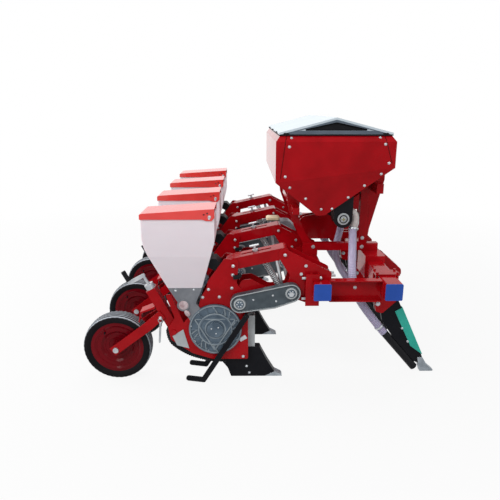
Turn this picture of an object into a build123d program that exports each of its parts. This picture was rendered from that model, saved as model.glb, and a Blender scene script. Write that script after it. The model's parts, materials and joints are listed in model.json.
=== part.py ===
from build123d import *
import math
import os

# Four-row mounted planter: seed units behind a double toolbar, a fertiliser hopper above it.
# X runs forward, Y to the left, Z up. Sizes are in millimetres.
# Places along X are measured from the rear toolbar's middle. Saving a piece moves it so that
# the origin lies on the ground, under the middle of the machine's length.

# Toolbars and the beams between them
ROW_COUNT = 4
ROW_PITCH = 600
BAR = 100
BAR_WALL = 6
BAR_ROUND = 8
BAR_OVERHANG = 150
BAR_GAP = 410
BAR_Z = 600
CAP_T = 6
CAP_PLUG = 24
BEAM_H = 130
BEAM_W = 52
BEAM_T = 7
BEAM_INSET = 55

# Clearance between pieces that turn or slide on each other, and between a piece and its seat
FIT = 0.3

# Row unit: link pivots as (x, z), the run of both links, plate sizes
UPPER_PIVOT = (-212, 801)
LOWER_PIVOT = (-175, 580)
LINK_RUN = (-300, -65)
LINK_W = 112
LINK_WALL = 6
LINK_TOP = 40
LINK_FLOOR = -32
SLOT_ALONG = (70, 250)
SLOT_HALF = 12
PLATE_T = 8
PIN_R = 10
PIN_HEAD_R = 16
PIN_HEAD_T = 7
SHAFT_R = 14
SHAFT_OVERHANG = 130

# Bracket and clamps of a row unit on the rear toolbar
CLAMP_T = 12
CLAMP_BOLT_R = 8
CLAMP_BOLT_Y = 28
CLAMP_HALF = 41
CLAMP_REACH = 30
HOOK_T = 10
HOOK_Y = 90
HOOK_X = (-91, -11)
HOOK_OVER = 40
SIDE_BOLT_Y = 77.5
SIDE_BOLT_REAR_X = -112
NUT_R = 12
NUT_T = 14

# Spring, pressure rod and T handle between the links
SPRING_R = 22
SPRING_WIRE = 9
SPRING_COILS = 9
SPRING_Y = 20
SPRING_ALONG = (48, 146)
ROD_R = 11.5
ROD_Y = -24
ROD_ALONG = (45, 53)
HANDLE_ALONG = 165
HANDLE_RISE = 75
HANDLE_HALF = 28
HANDLE_R = 7
HANDLE_NUT_R = 18
HANDLE_NUT_T = 12

# Chain case: end radius, its lower bulge as share of the run, drop and radius, rim and hubs
CASE_R = 56
CASE_W = 44
CASE_GAP = 4
CASE_BULGE = (0.36, -46, 24)
CASE_RIM = 9
CASE_RECESS = 7
CASE_HUB_R = 36
CASE_BOSS_R = 24
CASE_BOSS_T = 6

# Seed metering and its hopper
METER_AT = (-622, 340)
METER_R = 158
METER_HALF = 68
COVER_T = 12
COVER_BOSS = 6
COVER_RIBS = 16
COVER_RIB_T = 5
COVER_RIM = 8
COVER_RING = 0.62
COVER_HUB = 0.3
NECK_HALF = 80
SEED_TOP_Z = 1040
SEED_FLOOR_Z = 605
SEED_REAR_X = -1025
SEED_FRONT_X = -614
SEED_REAR_FOLD_Z = 868
SEED_FRONT_FOLD_Z = 890
SEED_SIDE_FOLD_Z = 800
SEED_REAR_ROUND = 200
SEED_FRONT_ROUND = 160
SEED_FLOOR_ROUND = 12
SEED_FLOOR_REAR_X = -893
SEED_FLOOR_FRONT_X = -694
SEED_HALF_TOP = 104
SEED_HALF_FLOOR = 82
SEED_WALL = 5
LID_WALL = 4
LID_GAP = 2
LID_RISE = 26
LID_OVER = 12
LID_DROP = 22
LID_PIVOT = (-642, 1024)
LID_PIN_R = 6
LID_EAR = 14
CLIP = [(-668, 774), (-612, 774), (-578, 738), (-578, 690), (-600, 690), (-664, 726)]

# Opener, drop tube, covering arms
SHOE_HALF = 28
SHOE_BOLT_R = 14
TUBE_GAP = 18
TUBE_W = 62
TUBE_WALL = 5
TUBE_FOOT_Z = 200
TUBE_PIN = (14, 300, 9)
COVER_PIVOT = (-436, 432)
COVER_ARM_W = 32
COVER_ARM_T = 10
COVER_ARM_GAP = 6
COVER_KNEE = -262
COVER_HEEL = (-352, 12)

# Press wheel
WHEEL_AT_X = -1225
WHEEL_R = 207.5
TYRE_W = 110
RIM_R = 150
RIM_W = 84
RIM_LIP = 10

# Tyre sidewall: height, distance in from the widest place and rounding, in sidewall heights
SIDEWALL = [(0.22, 0, 0.13), (0.74, 0, 0.13), (1, 0.35, 0.18)]

# Wheel hub, arm, scraper and depth crank
HUB_R = 34
AXLE_R = 10
AXLE_HEAD = 12
ARM_TUBE = 60
ARM_TUBE_WALL = 5
ARM_LOW = (-871, 318)
ARM_HIGH = (-1006, 574)
FORK_ROOT = (-958, 408)
FORK_T = 10
FORK_W = 56
FORK_GAP = 10
FORK_END = 26
FORK_BEND = (10, 80)
FORK_HEEL = -22
SCRAPER_GAP = 8
SCRAPER_ANGLE = 50
SCRAPER_SEAT = 190
SCRAPER_HALF = 42
CRANK_RISE = 92
CRANK_ARM = 94
CRANK_COLLAR = 34
CRANK_R = 9
CRANK_W = 22
CRANK_T = 12
GRIP_L = 66
GRIP_R = 14
GRIP_PIN_R = 7
GRIP_GAP = 12

# Fertiliser hopper
HOPPER_REAR_X = -256
HOPPER_FRONT_X = 471
HOPPER_HALF_L = 680
HOPPER_WALL = 4
HOPPER_WALL_TOP = 1421
HOPPER_RIM_Z = 1468
HOPPER_BEVEL = 36
HOPPER_REAR_FOLD_Z = 1174
HOPPER_FRONT_FOLD_Z = 1265
TROUGH_X = (12, 61)
TROUGH_Z = 958
TROUGH_HALF_L = 620
LID_SHEET = 3
LID_RIDGE = 94
LID_EAVE = 5
LID_FOOT = -10
LID_CLEAR = 14
GABLE_RECESS = 18
GABLE_INSET = 116
GABLE_LOW = 12
GABLE_TOP = 28
HINGE_Y = 330
HINGE_DROP = 4
HINGE_PIN_R = 5
HINGE_EYE_R = 10
HINGE_EAR_W = 20
HINGE_LUG_W = 14
HINGE_FOOT = [(-6, -34), (14, -44)]

# Fertiliser feeders and hoses
FEED_AT = (184, 935)
FEED_R = 60
FEED_W = 110
FEED_YS = (190, 555)
FEED_SHAFT_R = 11
FEED_DISC_R = 38
FEED_DISC_T = 10
HOSE_R = 26
HOSE_WALL = 3
SPOUT_X = 259
SPOUT_Z = 884

# Hose route below the spout: x, share of the way across to the shank, z
HOSE_ROUTE = [
    (SPOUT_X, 0, SPOUT_Z),
    (255, 0.15, 790),
    (207, 0.93, 655),
    (228, 1, 520),
]
HOSE_LEAD = 110
ARC_SHARE = 0.45

# Hopper stand: rails as middle x, middle z, width, height
STAND_Y = 430
STAND_TUBE = 50
STAND_LIFT = 33
STAND_END = 50
RAIL_FRONT = (411, 1125, 42, 62)
RAIL_REAR = (-116, 981, 42, 42)
RAIL_HALF_L = 600
GUSSET_T = 8
POST = 50
POST_X = 326
WING = [(387, 733), (398, 830), (480, 1160), (480, 1210)]
WING_TOP_X = 462
REAR_LEG = [(-50, 733), (12, 733), (-31, 798), (-85, 915), (-80, 965)]
REAR_LEG_BACK = [(-150, 955), (-112, 850)]
REAR_LEG_TOP_X = (-75, -165)

# Fertiliser shanks: outlines as distance along the leg and across it, positive to the front
SHANK_INSET = 40
SHANK_T = 24
SHANK_HEAD = (468, 478)
SHANK_FOOT = (665, 60)
SHANK_OUTLINE = [(0, 28), (430, 28), (462, -10), (430, -40), (275, -86), (90, -112), (0, -92)]
SHANK_TOP = (-32, 50)
SHIN_OUTLINE = [(68, -18), (64, 34), (417, 34), (328, -14)]
SHIN_T = 32
POINT_TIP_X = 752
POINT_H = 96
BOOT_TOP = (425, 263)
BOOT_FOOT = (632, 24)
BOOT_R = 24
BRACKET_T = 8
BRACKET_OVER = 22
BRACKET_HALF = 46
BRACKET_BOLT_Y = 34
BRACKET_TIP = [(400, 398), (358, 412)]
STRAP_T = 10
STRAP_BOLT_R = 8

# Three-point hitch
HITCH_Y = 412
HITCH_SLEEVE_Y = (384, 600)
HITCH_WRAP = 15
LOWER_PIN = (600, 520)
LOWER_PIN_R = 14.4
LUG_T = 16
LUG_GAP = 56
TOP_PIN = (484, 1088)
TOP_PIN_R = 12.9
MAST_T = 14
MAST_GAP = 60
MAST_SIDE = [(-50, 660), (460, 660), (518, 1050), (518, 1112), (494, 1124), (462, 1124), (446, 1030),
             (240, 880), (-10, 830), (-50, 780)]
MAST_WINDOW = [(250, 712), (408, 712), (420, 940)]
FOOT_T = 12
FOOT_HALF_L = 90

# Drive gearbox: outline behind the rear toolbar's plate as x back from it and z above the toolbar
GEARBOX = [(0, -120, 0), (0, 100, 20), (-50, 150, 40), (-180, 150, 40), (-210, 30, 40), (-180, -120, 40)]
GEARBOX_HALF = 62
GEARBOX_HUB = (-110, 70, 58, 84)
GEARBOX_FOOT_HALF = 80

# Row cheek: the point that a corner is measured from, its x and z offset, its rounding.
# Offsets from the meter are in meter radii, the others in millimetres.
CHEEK = [
    ("upper", 34, 34, 20), ("upper", -50, 42, 20), ("meter", -0.253, 1.9, 30), ("meter", -0.304, 1.633, 10),
    ("meter", -0.506, 1.291, 10), ("meter", -0.608, 0.949, 0), ("arm", 60, 60, 0), ("arm", -10, 240, 10),
    ("arm", -42, 240, 10), ("arm", 8, 90, 30), ("arm", -34, 26, 20), ("arm", -20, -50, 20),
    ("meter", -0.899, -1.025, 60), ("meter", -0.127, -1.278, 60), ("meter", 1.241, -1.278, 10),
    ("meter", 1.241, 0.633, 10), ("lower", 42, -20, 20), ("lower", 42, 30, 20), ("upper", 20, -110, 30),
]

# Seed neck below the hopper's floor: x and z from the meter in meter radii
NECK = [(-0.709, 1.063, 1, 0), (-0.443, 0.696, 1, 0), (-0.823, 0.19, -1, -1)]

# Opener: x from the meter's axis, z, rounding; its bolts as x and z
SHOE = [
    (20, 122, 8), (69, 60, 30), (90, 0, 0), (300, 0, 0), (360, 30, 0), (318, 100, 40), (284, 165, 40),
    (268, 200, 10), (196, 200, 0), (150, 180, 20), (30, 160, 8),
]
SHOE_BOLTS = [(60, 150), (170, 160)]
SHOE_TIP = [(300, 0), (408, 0), (402, 8), (360, 30)]

# Mud shield: x and z from the wheel arm's pivot
SHIELD = [(-10, -26), (56, 18), (88, -106), (16, -86)]
SHIELD_T = 4

# Derived places
ROWS = [(index - (ROW_COUNT - 1) / 2) * ROW_PITCH for index in range(ROW_COUNT)]
BAR_LENGTH = (ROW_COUNT - 1) * ROW_PITCH + 2 * BAR_OVERHANG
LINK_LENGTH = math.hypot(*LINK_RUN)
PLATE_IN = LINK_W / 2 + FIT
PLATE_OUT = PLATE_IN + PLATE_T
BAR_TOP = BAR_Z + BAR / 2
BAR_BOTTOM = BAR_Z - BAR / 2
FRONT_BAR_X = BAR_GAP
WHEEL_AT = (WHEEL_AT_X, WHEEL_R)
X_MIDDLE = (WHEEL_AT_X - WHEEL_R + POINT_TIP_X) / 2
UPPER_REAR = (UPPER_PIVOT[0] + LINK_RUN[0], UPPER_PIVOT[1] + LINK_RUN[1])
LOWER_REAR = (LOWER_PIVOT[0] + LINK_RUN[0], LOWER_PIVOT[1] + LINK_RUN[1])
ARM_LENGTH = math.dist(ARM_LOW, ARM_HIGH)
FORK_IN = TYRE_W / 2 + FORK_GAP
ARM_Y = METER_HALF + COVER_T + COVER_BOSS + COVER_ARM_GAP
STAND_TOP = BAR_TOP + STAND_LIFT + STAND_TUBE
RIM_BOX = (
    HOPPER_REAR_X + HOPPER_BEVEL,
    HOPPER_FRONT_X - HOPPER_BEVEL,
    HOPPER_HALF_L - HOPPER_BEVEL,
)
LID_BOX = (
    RIM_BOX[0] - LID_CLEAR - LID_SHEET,
    RIM_BOX[1] + LID_CLEAR + LID_SHEET,
    RIM_BOX[2] + LID_CLEAR + LID_SHEET,
)
HINGE_AT = (LID_BOX[1] + HINGE_EYE_R, HOPPER_RIM_Z - HINGE_DROP)
ANCHORS = {
    "upper": (UPPER_REAR, 1),
    "lower": (LOWER_REAR, 1),
    "arm": (ARM_LOW, 1),
    "meter": (METER_AT, METER_R),
}


def box(x0, x1, y0, y1, z0, z1):
    """Block between two corners."""
    return Pos((x0 + x1) / 2, (y0 + y1) / 2, (z0 + z1) / 2) * Box(x1 - x0, y1 - y0, z1 - z0)


def outline(points, radius=0):
    """Flat face in the XZ plane from (x, z) corners, rounded by one radius or by one for each."""
    corners = [(x, 0, z) for x, z in points]
    return make_face(FilletPolyline(*corners, radius=radius, close=True).edges())


def plate(points, y0, y1, radius=0):
    """Plate of an (x, z) outline between two Y places."""
    return Pos(0, y0, 0) * extrude(outline(points, radius), amount=y1 - y0, dir=(0, 1, 0))


def rod(at, radius, y0, y1):
    """Round bar along Y at (x, z)."""
    place = Plane(origin=(at[0], y0, at[1]), x_dir=(1, 0, 0), z_dir=(0, 1, 0))
    return place * Cylinder(radius, y1 - y0, align=(Align.CENTER, Align.CENTER, Align.MIN))


def rod_x(x0, x1, y, z, radius):
    """Round bar along X."""
    place = Plane(origin=(x0, y, z), x_dir=(0, 1, 0), z_dir=(1, 0, 0))
    return place * Cylinder(radius, x1 - x0, align=(Align.CENTER, Align.CENTER, Align.MIN))


def bar_plane(start, end, y=0):
    """Plane at start whose x axis runs to end and whose y axis is the machine's Y."""
    length = math.dist(start, end)
    ux = (end[0] - start[0]) / length
    uz = (end[1] - start[1]) / length
    return Plane(origin=(start[0], y, start[1]), x_dir=(ux, 0, uz), z_dir=(-uz, 0, ux))


def strip(start, end, width, y0, y1):
    """Flat bar with round ends between two (x, z) points."""
    length = math.dist(start, end)
    middle = ((start[0] + end[0]) / 2, (start[1] + end[1]) / 2)
    angle = math.degrees(math.atan2(end[1] - start[1], end[0] - start[0]))
    place = Plane(origin=(middle[0], y0, middle[1]), x_dir=(1, 0, 0), z_dir=(0, 1, 0))
    face = place * SlotCenterToCenter(length, width, rotation=-angle)
    return extrude(face, amount=y1 - y0, dir=(0, 1, 0))


def tube_run(start, end, size, wall):
    """Square tube centred on the row's middle plane between two (x, z) points."""
    length = math.dist(start, end)
    place = bar_plane(start, end)
    ends = (Align.MIN, Align.CENTER, Align.CENTER)
    bore = size - 2 * wall
    return place * (Box(length, size, size, align=ends) - Box(length, bore, bore, align=ends))


def round_bar(start, end, radius, y=0):
    """Round bar in a plane of constant Y between two (x, z) points."""
    place = bar_plane(start, end, y)
    ring = Plane(origin=place.origin, x_dir=(0, 1, 0), z_dir=place.x_dir)
    return ring * Cylinder(radius, math.dist(start, end), align=(Align.CENTER, Align.CENTER, Align.MIN))


def offset_point(start, end, along, across):
    """Point a distance along a line from start, and across it to the upper side."""
    length = math.dist(start, end)
    ux = (end[0] - start[0]) / length
    uz = (end[1] - start[1]) / length
    side = 1 if ux >= 0 else -1
    return (start[0] + ux * along - uz * across * side, start[1] + uz * along + ux * across * side)


def on_upper(along, across):
    """Point on the upper link, measured from its front pivot."""
    return offset_point(UPPER_PIVOT, UPPER_REAR, along, across)


def on_lower(along, across):
    """Point on the lower link, measured from its front pivot."""
    return offset_point(LOWER_PIVOT, LOWER_REAR, along, across)


def on_arm(along, across=0):
    """Point on the press wheel's arm, measured from its pivot."""
    return offset_point(ARM_LOW, ARM_HIGH, along, across)


def on_shank(along, across):
    """Point on the fertiliser shank, measured from its head."""
    return offset_point(SHANK_HEAD, SHANK_FOOT, along, across)


def mirrored(shape):
    """A shape and its mirror image across the machine's middle plane."""
    return [shape, mirror(shape, about=Plane.XZ)]


def on_rows(*shapes):
    """Copies of a row's pieces on every row."""
    return [Pos(0, y, 0) * shape for y in ROWS for shape in shapes]


def save(name, *shapes):
    """Write a node's solids, moved to the machine's own origin."""
    solids = [solid for shape in shapes for solid in shape.solids()]
    export_step(Pos(-X_MIDDLE, 0, 0) * Compound(solids), f"parts/{name}.step")


# Toolbars

def toolbar(x):
    """One square tube of the double toolbar."""
    place = Plane(origin=(x, 0, BAR_Z), x_dir=(1, 0, 0), z_dir=(0, 1, 0))
    inside = BAR - 2 * BAR_WALL
    face = RectangleRounded(BAR, BAR, BAR_ROUND) - RectangleRounded(inside, inside, BAR_ROUND - BAR_WALL / 2)
    return extrude(place * face, amount=BAR_LENGTH / 2, both=True)


def toolbar_cap(x):
    """Plastic cap whose plug fills a toolbar's left end."""
    place = Plane(origin=(x, BAR_LENGTH / 2, BAR_Z), x_dir=(1, 0, 0), z_dir=(0, 1, 0))
    inside = BAR - 2 * BAR_WALL - 2 * FIT
    cap = extrude(place * RectangleRounded(BAR, BAR, BAR_ROUND), amount=CAP_T)
    return cap + extrude(place * RectangleRounded(inside, inside, BAR_ROUND - BAR_WALL / 2), amount=-CAP_PLUG)


def cross_beam():
    """Channel between the toolbars at the left end, its open side outward."""
    x0 = BAR / 2
    x1 = FRONT_BAR_X - BAR / 2
    outer = BAR_LENGTH / 2 - BEAM_INSET
    top = BAR_TOP
    beam = box(x0, x1, outer - BEAM_W, outer, top - BEAM_H, top)
    return beam - box(x0, x1, outer - BEAM_W + BEAM_T, outer, top - BEAM_H + BEAM_T, top - BEAM_T)


# Three-point hitch

def lower_hitch():
    """Clamp box round the front toolbar with the two ears of a lower link's pin."""
    half = LUG_GAP / 2
    x0 = FRONT_BAR_X - BAR / 2 - HITCH_WRAP
    x1 = FRONT_BAR_X + BAR / 2 + HITCH_WRAP
    px, pz = LOWER_PIN
    top = BAR_TOP + HITCH_WRAP
    ear = [(x1 - HITCH_WRAP, top), (x1 + 30, top - 4), (px + 32, pz + 28), (px + 36, pz - 8),
           (px + 8, pz - 36), (px - 40, pz - 34), (x1 - HITCH_WRAP, BAR_BOTTOM - 8)]
    sleeve = box(x0, x1, *HITCH_SLEEVE_Y, BAR_BOTTOM - HITCH_WRAP, BAR_TOP + STAND_LIFT)
    ears = [plate(ear, HITCH_Y + y, HITCH_Y + y + LUG_T, [0, 20, 24, 24, 24, 20, 0])
            for y in (-half - LUG_T, half)]
    bar = box(FRONT_BAR_X - BAR / 2, FRONT_BAR_X + BAR / 2, 0, BAR_LENGTH, BAR_BOTTOM, BAR_TOP)
    hole = rod(LOWER_PIN, LOWER_PIN_R, HITCH_Y - half - LUG_T, HITCH_Y + half + LUG_T)
    return sleeve + ears - bar - hole


def hitch_mast():
    """Two broad side plates on both toolbars that carry the top link's pin."""
    half = MAST_GAP / 2
    mast = Part()
    for x in (0, FRONT_BAR_X):
        mast += box(x - BAR / 2, x + BAR / 2, -FOOT_HALF_L, FOOT_HALF_L, BAR_TOP, BAR_TOP + FOOT_T)
    for y in (-half - MAST_T, half):
        side = plate(MAST_SIDE, y, y + MAST_T, [0, 0, 30, 16, 16, 16, 40, 120, 60, 20])
        mast += side - plate(MAST_WINDOW, y, y + MAST_T, 24)
    return mast - rod(TOP_PIN, TOP_PIN_R, -half - MAST_T, half + MAST_T)


# Fertiliser hopper

def hopper_volume(inset):
    """Outer form of the hopper, or its inside where inset is the wall's thickness."""
    rear = HOPPER_REAR_X
    front = HOPPER_FRONT_X
    section = outline([
        (rear, HOPPER_WALL_TOP), (rear, HOPPER_REAR_FOLD_Z), (TROUGH_X[0], TROUGH_Z),
        (TROUGH_X[1], TROUGH_Z), (front, HOPPER_FRONT_FOLD_Z), (front, HOPPER_WALL_TOP)])
    if inset:
        section = offset(section, -inset, kind=Kind.INTERSECTION)
        section += outline([
            (rear + inset, HOPPER_WALL_TOP), (rear + inset, HOPPER_WALL_TOP - 2 * inset),
            (front - inset, HOPPER_WALL_TOP - 2 * inset), (front - inset, HOPPER_WALL_TOP)])
    body = extrude(section, amount=HOPPER_HALF_L - inset, dir=(0, 1, 0), both=True)
    fold = Vector(front - rear, 0, HOPPER_FRONT_FOLD_Z - HOPPER_REAR_FOLD_Z)
    for side in (-1, 1):
        start = Vector(rear, side * HOPPER_HALF_L, HOPPER_REAR_FOLD_Z)
        slope = Vector(TROUGH_X[0], side * TROUGH_HALF_L, TROUGH_Z) - start
        normal = fold.cross(slope).normalized() * side
        cutter = Plane(origin=start - normal * inset, x_dir=fold, z_dir=normal)
        reach = 2 * (front - rear)
        body -= cutter * Box(reach, reach, reach, align=(Align.CENTER, Align.CENTER, Align.MIN))
    low = Pos((rear + front) / 2, 0, HOPPER_WALL_TOP) * Rectangle(
        front - rear - 2 * inset, 2 * (HOPPER_HALF_L - inset))
    high = Pos((rear + front) / 2, 0, HOPPER_RIM_Z) * Rectangle(
        RIM_BOX[1] - RIM_BOX[0] - 2 * inset, 2 * (RIM_BOX[2] - inset))
    return body + loft([low, high], ruled=True)


def hopper_hinge_ear(y):
    """Eye on the hopper's front bevel that carries the lid's hinge pin."""
    hx, hz = HINGE_AT
    eye = [(hx + dx, hz + dz) for dx, dz in HINGE_FOOT]
    eye += [(hx + HINGE_EYE_R, hz), (hx - HINGE_EYE_R, hz)]
    ear = plate(eye, y - HINGE_EAR_W / 2, y + HINGE_EAR_W / 2)
    ear += rod(HINGE_AT, HINGE_EYE_R, y - HINGE_EAR_W / 2, y + HINGE_EAR_W / 2)
    return ear - rod(HINGE_AT, HINGE_PIN_R + FIT, y - HINGE_EAR_W, y + HINGE_EAR_W)


def fert_hopper():
    """Folded sheet hopper with an open top and a bevelled rim."""
    inside = hopper_volume(HOPPER_WALL)
    shell = hopper_volume(0)
    for y in (-HINGE_Y, HINGE_Y):
        shell += hopper_hinge_ear(y)
    return shell - inside


def fert_lid():
    """Gabled lid with recessed ends, hinged on the hopper's front edge."""
    x0, x1, half = LID_BOX
    foot = HOPPER_RIM_Z + LID_FOOT
    eave = HOPPER_RIM_Z + LID_EAVE
    ridge = HOPPER_RIM_Z + LID_RIDGE
    middle = (x0 + x1) / 2
    sheet = LID_SHEET
    roof = [(x0, foot), (x0, eave), (middle, ridge), (x1, eave), (x1, foot)]
    room = [(x0 + sheet, foot), (x0 + sheet, eave - sheet), (middle, ridge - sheet),
            (x1 - sheet, eave - sheet), (x1 - sheet, foot)]
    recess = [(x0 + GABLE_INSET, eave + GABLE_LOW), (middle, ridge - GABLE_TOP),
              (x1 - GABLE_INSET, eave + GABLE_LOW)]
    end = half - GABLE_RECESS
    lid = plate(roof, -half, half) - plate(room, -end + sheet, end - sheet)
    lid -= box(x0 + sheet, x1 - sheet, -half + sheet, half - sheet, foot, eave - sheet)
    for y in (-half, end):
        lid -= plate(recess, y, y + GABLE_RECESS, HINGE_PIN_R)
    hx, hz = HINGE_AT
    lug = [(x1 - sheet, eave), (x1 - sheet, foot), (hx, hz - HINGE_EYE_R + 2), (hx, eave)]
    for y in (-HINGE_Y, HINGE_Y):
        reach = HINGE_EAR_W / 2 + FIT
        for edge in (y - reach - HINGE_LUG_W, y + reach):
            lid += plate(lug, edge, edge + HINGE_LUG_W)
        lid += rod(HINGE_AT, HINGE_PIN_R, y - reach - HINGE_LUG_W, y + reach + HINGE_LUG_W)
    return lid


def slope_z(x):
    """Height of the hopper's front slope."""
    rise = (HOPPER_FRONT_FOLD_Z - TROUGH_Z) / (HOPPER_FRONT_X - TROUGH_X[1])
    return TROUGH_Z + (x - TROUGH_X[1]) * rise


def rear_slope_z(x):
    """Height of the hopper's rear slope."""
    rise = (HOPPER_REAR_FOLD_Z - TROUGH_Z) / (TROUGH_X[0] - HOPPER_REAR_X)
    return TROUGH_Z + (TROUGH_X[0] - x) * rise


def fert_meter(y):
    """Drop-shaped feeder under the hopper's front slope."""
    fx, fz = FEED_AT
    x0 = fx - FEED_R
    x1 = fx + FEED_R
    neck = [(x0, slope_z(x0)), (x1, slope_z(x1)), (x1, fz), (x0, fz)]
    low = y - FEED_W / 2
    high = y + FEED_W / 2
    body = plate(neck, low, high) + rod(FEED_AT, FEED_R, low, high)
    return body - rod(FEED_AT, FEED_SHAFT_R + FIT, low, high)


def feed_shaft():
    """Cross shaft of the feeders with a disc outside each end one."""
    end = FEED_YS[-1] + FEED_W / 2 + FEED_DISC_T
    shaft = rod(FEED_AT, FEED_SHAFT_R, -end - FEED_DISC_T, end + FEED_DISC_T)
    for y in (-end + FIT, end - FEED_DISC_T + FIT):
        shaft += rod(FEED_AT, FEED_DISC_R, y, y + FEED_DISC_T - 2 * FIT)
    return shaft


def shank_y(row):
    """Middle of a row's fertiliser shank, set in from the row's middle."""
    return row - math.copysign(SHANK_INSET, row)


def arc_radii(route):
    """Largest even arc at each inner corner of a route."""
    radii = []
    for before, here, after in zip(route, route[1:], route[2:]):
        first = Vector(*here) - Vector(*before)
        second = Vector(*after) - Vector(*here)
        turn = math.radians(first.get_angle(second))
        radii.append(ARC_SHARE * min(first.length, second.length) / math.tan(turn / 2))
    return radii


def fert_hose(feed_y, row):
    """Hose with its elbow, from a feeder down between the toolbars to a shank's boot."""
    y = shank_y(row)
    lead = offset_point(BOOT_TOP, BOOT_FOOT, -HOSE_LEAD, 0)
    route = [(x, feed_y + (y - feed_y) * share, z) for x, share, z in HOSE_ROUTE]
    route += [(lead[0], y, lead[1]), (BOOT_TOP[0], y, BOOT_TOP[1])]
    path = FilletPolyline(*route, radius=arc_radii(route))
    start = Plane(origin=route[0], z_dir=Vector(*route[1]) - Vector(*route[0]))
    hose = sweep(start * (Circle(HOSE_R) - Circle(HOSE_R - HOSE_WALL)), path=path)
    fx, fz = FEED_AT
    x0 = SPOUT_X - HOSE_R
    x1 = SPOUT_X + HOSE_R
    elbow = [(fx, fz + FEED_R), (fx + FEED_R, fz + FEED_R), (x1, fz), (x1, SPOUT_Z - HOSE_R / 2),
             (x0, SPOUT_Z - HOSE_R / 2), (x0, fz - FEED_R / 2), (fx, fz - FEED_R / 2)]
    body = fert_meter(feed_y) + rod(FEED_AT, FEED_R, feed_y - HOSE_R, feed_y + HOSE_R)
    return hose + (plate(elbow, feed_y - HOSE_R, feed_y + HOSE_R) - body)


# Hopper stand

def stand_base():
    """Left base tube across both toolbars, with its packer on the rear one."""
    half = STAND_TUBE / 2
    seat = BAR_TOP + STAND_LIFT
    base = box(-BAR / 2, FRONT_BAR_X + STAND_END, STAND_Y - half, STAND_Y + half, seat, STAND_TOP)
    return base + box(-BAR / 2, BAR / 2, STAND_Y - half, STAND_Y + half, BAR_TOP, seat)


def stand_rail(rail):
    """Rail along Y under one of the hopper's slopes."""
    x, z, width, height = rail
    return box(x - width / 2, x + width / 2, -RAIL_HALF_L, RAIL_HALF_L, z - height / 2, z + height / 2)


def front_leg():
    """Left front post with the wing plate that holds the front rail."""
    post_end = POST_X + POST
    post = [(POST_X, STAND_TOP), (post_end, STAND_TOP), (post_end, slope_z(post_end)),
            (POST_X, slope_z(POST_X))]
    wing = [(post_end, STAND_TOP), *WING, (WING_TOP_X, slope_z(WING_TOP_X)), (post_end, slope_z(post_end))]
    leg = plate(post, STAND_Y - POST / 2, STAND_Y + POST / 2)
    return leg + plate(wing, STAND_Y - GUSSET_T / 2, STAND_Y + GUSSET_T / 2) - stand_rail(RAIL_FRONT)


def rear_leg():
    """Left rear plate leg round the rear rail."""
    leg = [*REAR_LEG, *[(x, rear_slope_z(x)) for x in REAR_LEG_TOP_X], *REAR_LEG_BACK]
    return plate(leg, STAND_Y - GUSSET_T, STAND_Y + GUSSET_T) - stand_rail(RAIL_REAR)


# Fertiliser shanks, modelled on the middle plane

def shank():
    """Forward-raked leg under the front toolbar, its rear edge against the boot."""
    corners = [on_shank(along, across) for along, across in SHANK_OUTLINE]
    head = [(FRONT_BAR_X + SHANK_TOP[0], BAR_BOTTOM), (FRONT_BAR_X + SHANK_TOP[1], BAR_BOTTOM),
            corners[0], corners[-1]]
    leg = plate(corners, -SHANK_T / 2, SHANK_T / 2) + plate(head, -SHANK_T / 2, SHANK_T / 2)
    room = 2 * (BOOT_R + FIT)
    boot = bar_plane(BOOT_TOP, BOOT_FOOT) * Box(
        math.dist(BOOT_TOP, BOOT_FOOT) + room, room, room, align=(Align.MIN, Align.CENTER, Align.CENTER))
    return leg - boot


def shin_plate():
    """Tapered guard that wraps the shank's front edge."""
    body = plate([on_shank(along, across) for along, across in SHIN_OUTLINE], -SHIN_T / 2, SHIN_T / 2)
    reach = math.dist(SHANK_HEAD, SHANK_FOOT)
    front = SHANK_OUTLINE[0][1]
    core = [on_shank(along, across) for along, across in (
        (0, front), (reach, front), (reach, -front), (0, -front))]
    return body - plate(core, -SHANK_T / 2, SHANK_T / 2)


def shank_point():
    """Forged point below the shank."""
    x = SHANK_FOOT[0]
    nose = [(x - 18, POINT_H), (x + 14, POINT_H), (x + 46, 44), (POINT_TIP_X, 10), (POINT_TIP_X, 2),
            (POINT_TIP_X - 8, 0), (x + 4, 0), (x - 6, 30)]
    return plate(nose, -SHIN_T / 2, SHIN_T / 2) - shank()


def shank_boot():
    """Drop tube behind the shank."""
    length = math.dist(BOOT_TOP, BOOT_FOOT)
    place = bar_plane(BOOT_TOP, BOOT_FOOT)
    ring = Plane(origin=place.origin, x_dir=(0, 1, 0), z_dir=place.x_dir)
    return ring * (Pos(0, 0, length / 2) * (Cylinder(BOOT_R, length) - Cylinder(BOOT_R - HOSE_WALL, length)))


def shank_bracket():
    """Clamp of a shank on the front toolbar: straps above and below, four bolts, two cheeks."""
    x0 = FRONT_BAR_X - BAR / 2 - BRACKET_OVER
    x1 = FRONT_BAR_X + BAR / 2 + BRACKET_OVER
    half = SHANK_T / 2 + FIT
    low = BAR_BOTTOM - STRAP_T
    bracket = box(x0, x1, -BRACKET_HALF, BRACKET_HALF, BAR_TOP, BAR_TOP + STRAP_T)
    lower = box(x0, x1, -BRACKET_HALF, BRACKET_HALF, low, BAR_BOTTOM)
    cheek = [(x0, low), (x1, low), (x1, SHANK_HEAD[1]), *BRACKET_TIP]
    for y in (-half - BRACKET_T, half):
        lower += plate(cheek, y, y + BRACKET_T, [0, 0, 16, 16, 16])
    bracket += lower - box(x0, x1, -half, half, 0, BAR_BOTTOM)
    for x in (x0 + BRACKET_OVER / 2, x1 - BRACKET_OVER / 2):
        for y in (-BRACKET_BOLT_Y, BRACKET_BOLT_Y):
            bracket += Pos(x, y, BAR_Z) * Cylinder(STRAP_BOLT_R, BAR + 4 * STRAP_T)
    return bracket


# Row unit, modelled on the row's middle plane

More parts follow.
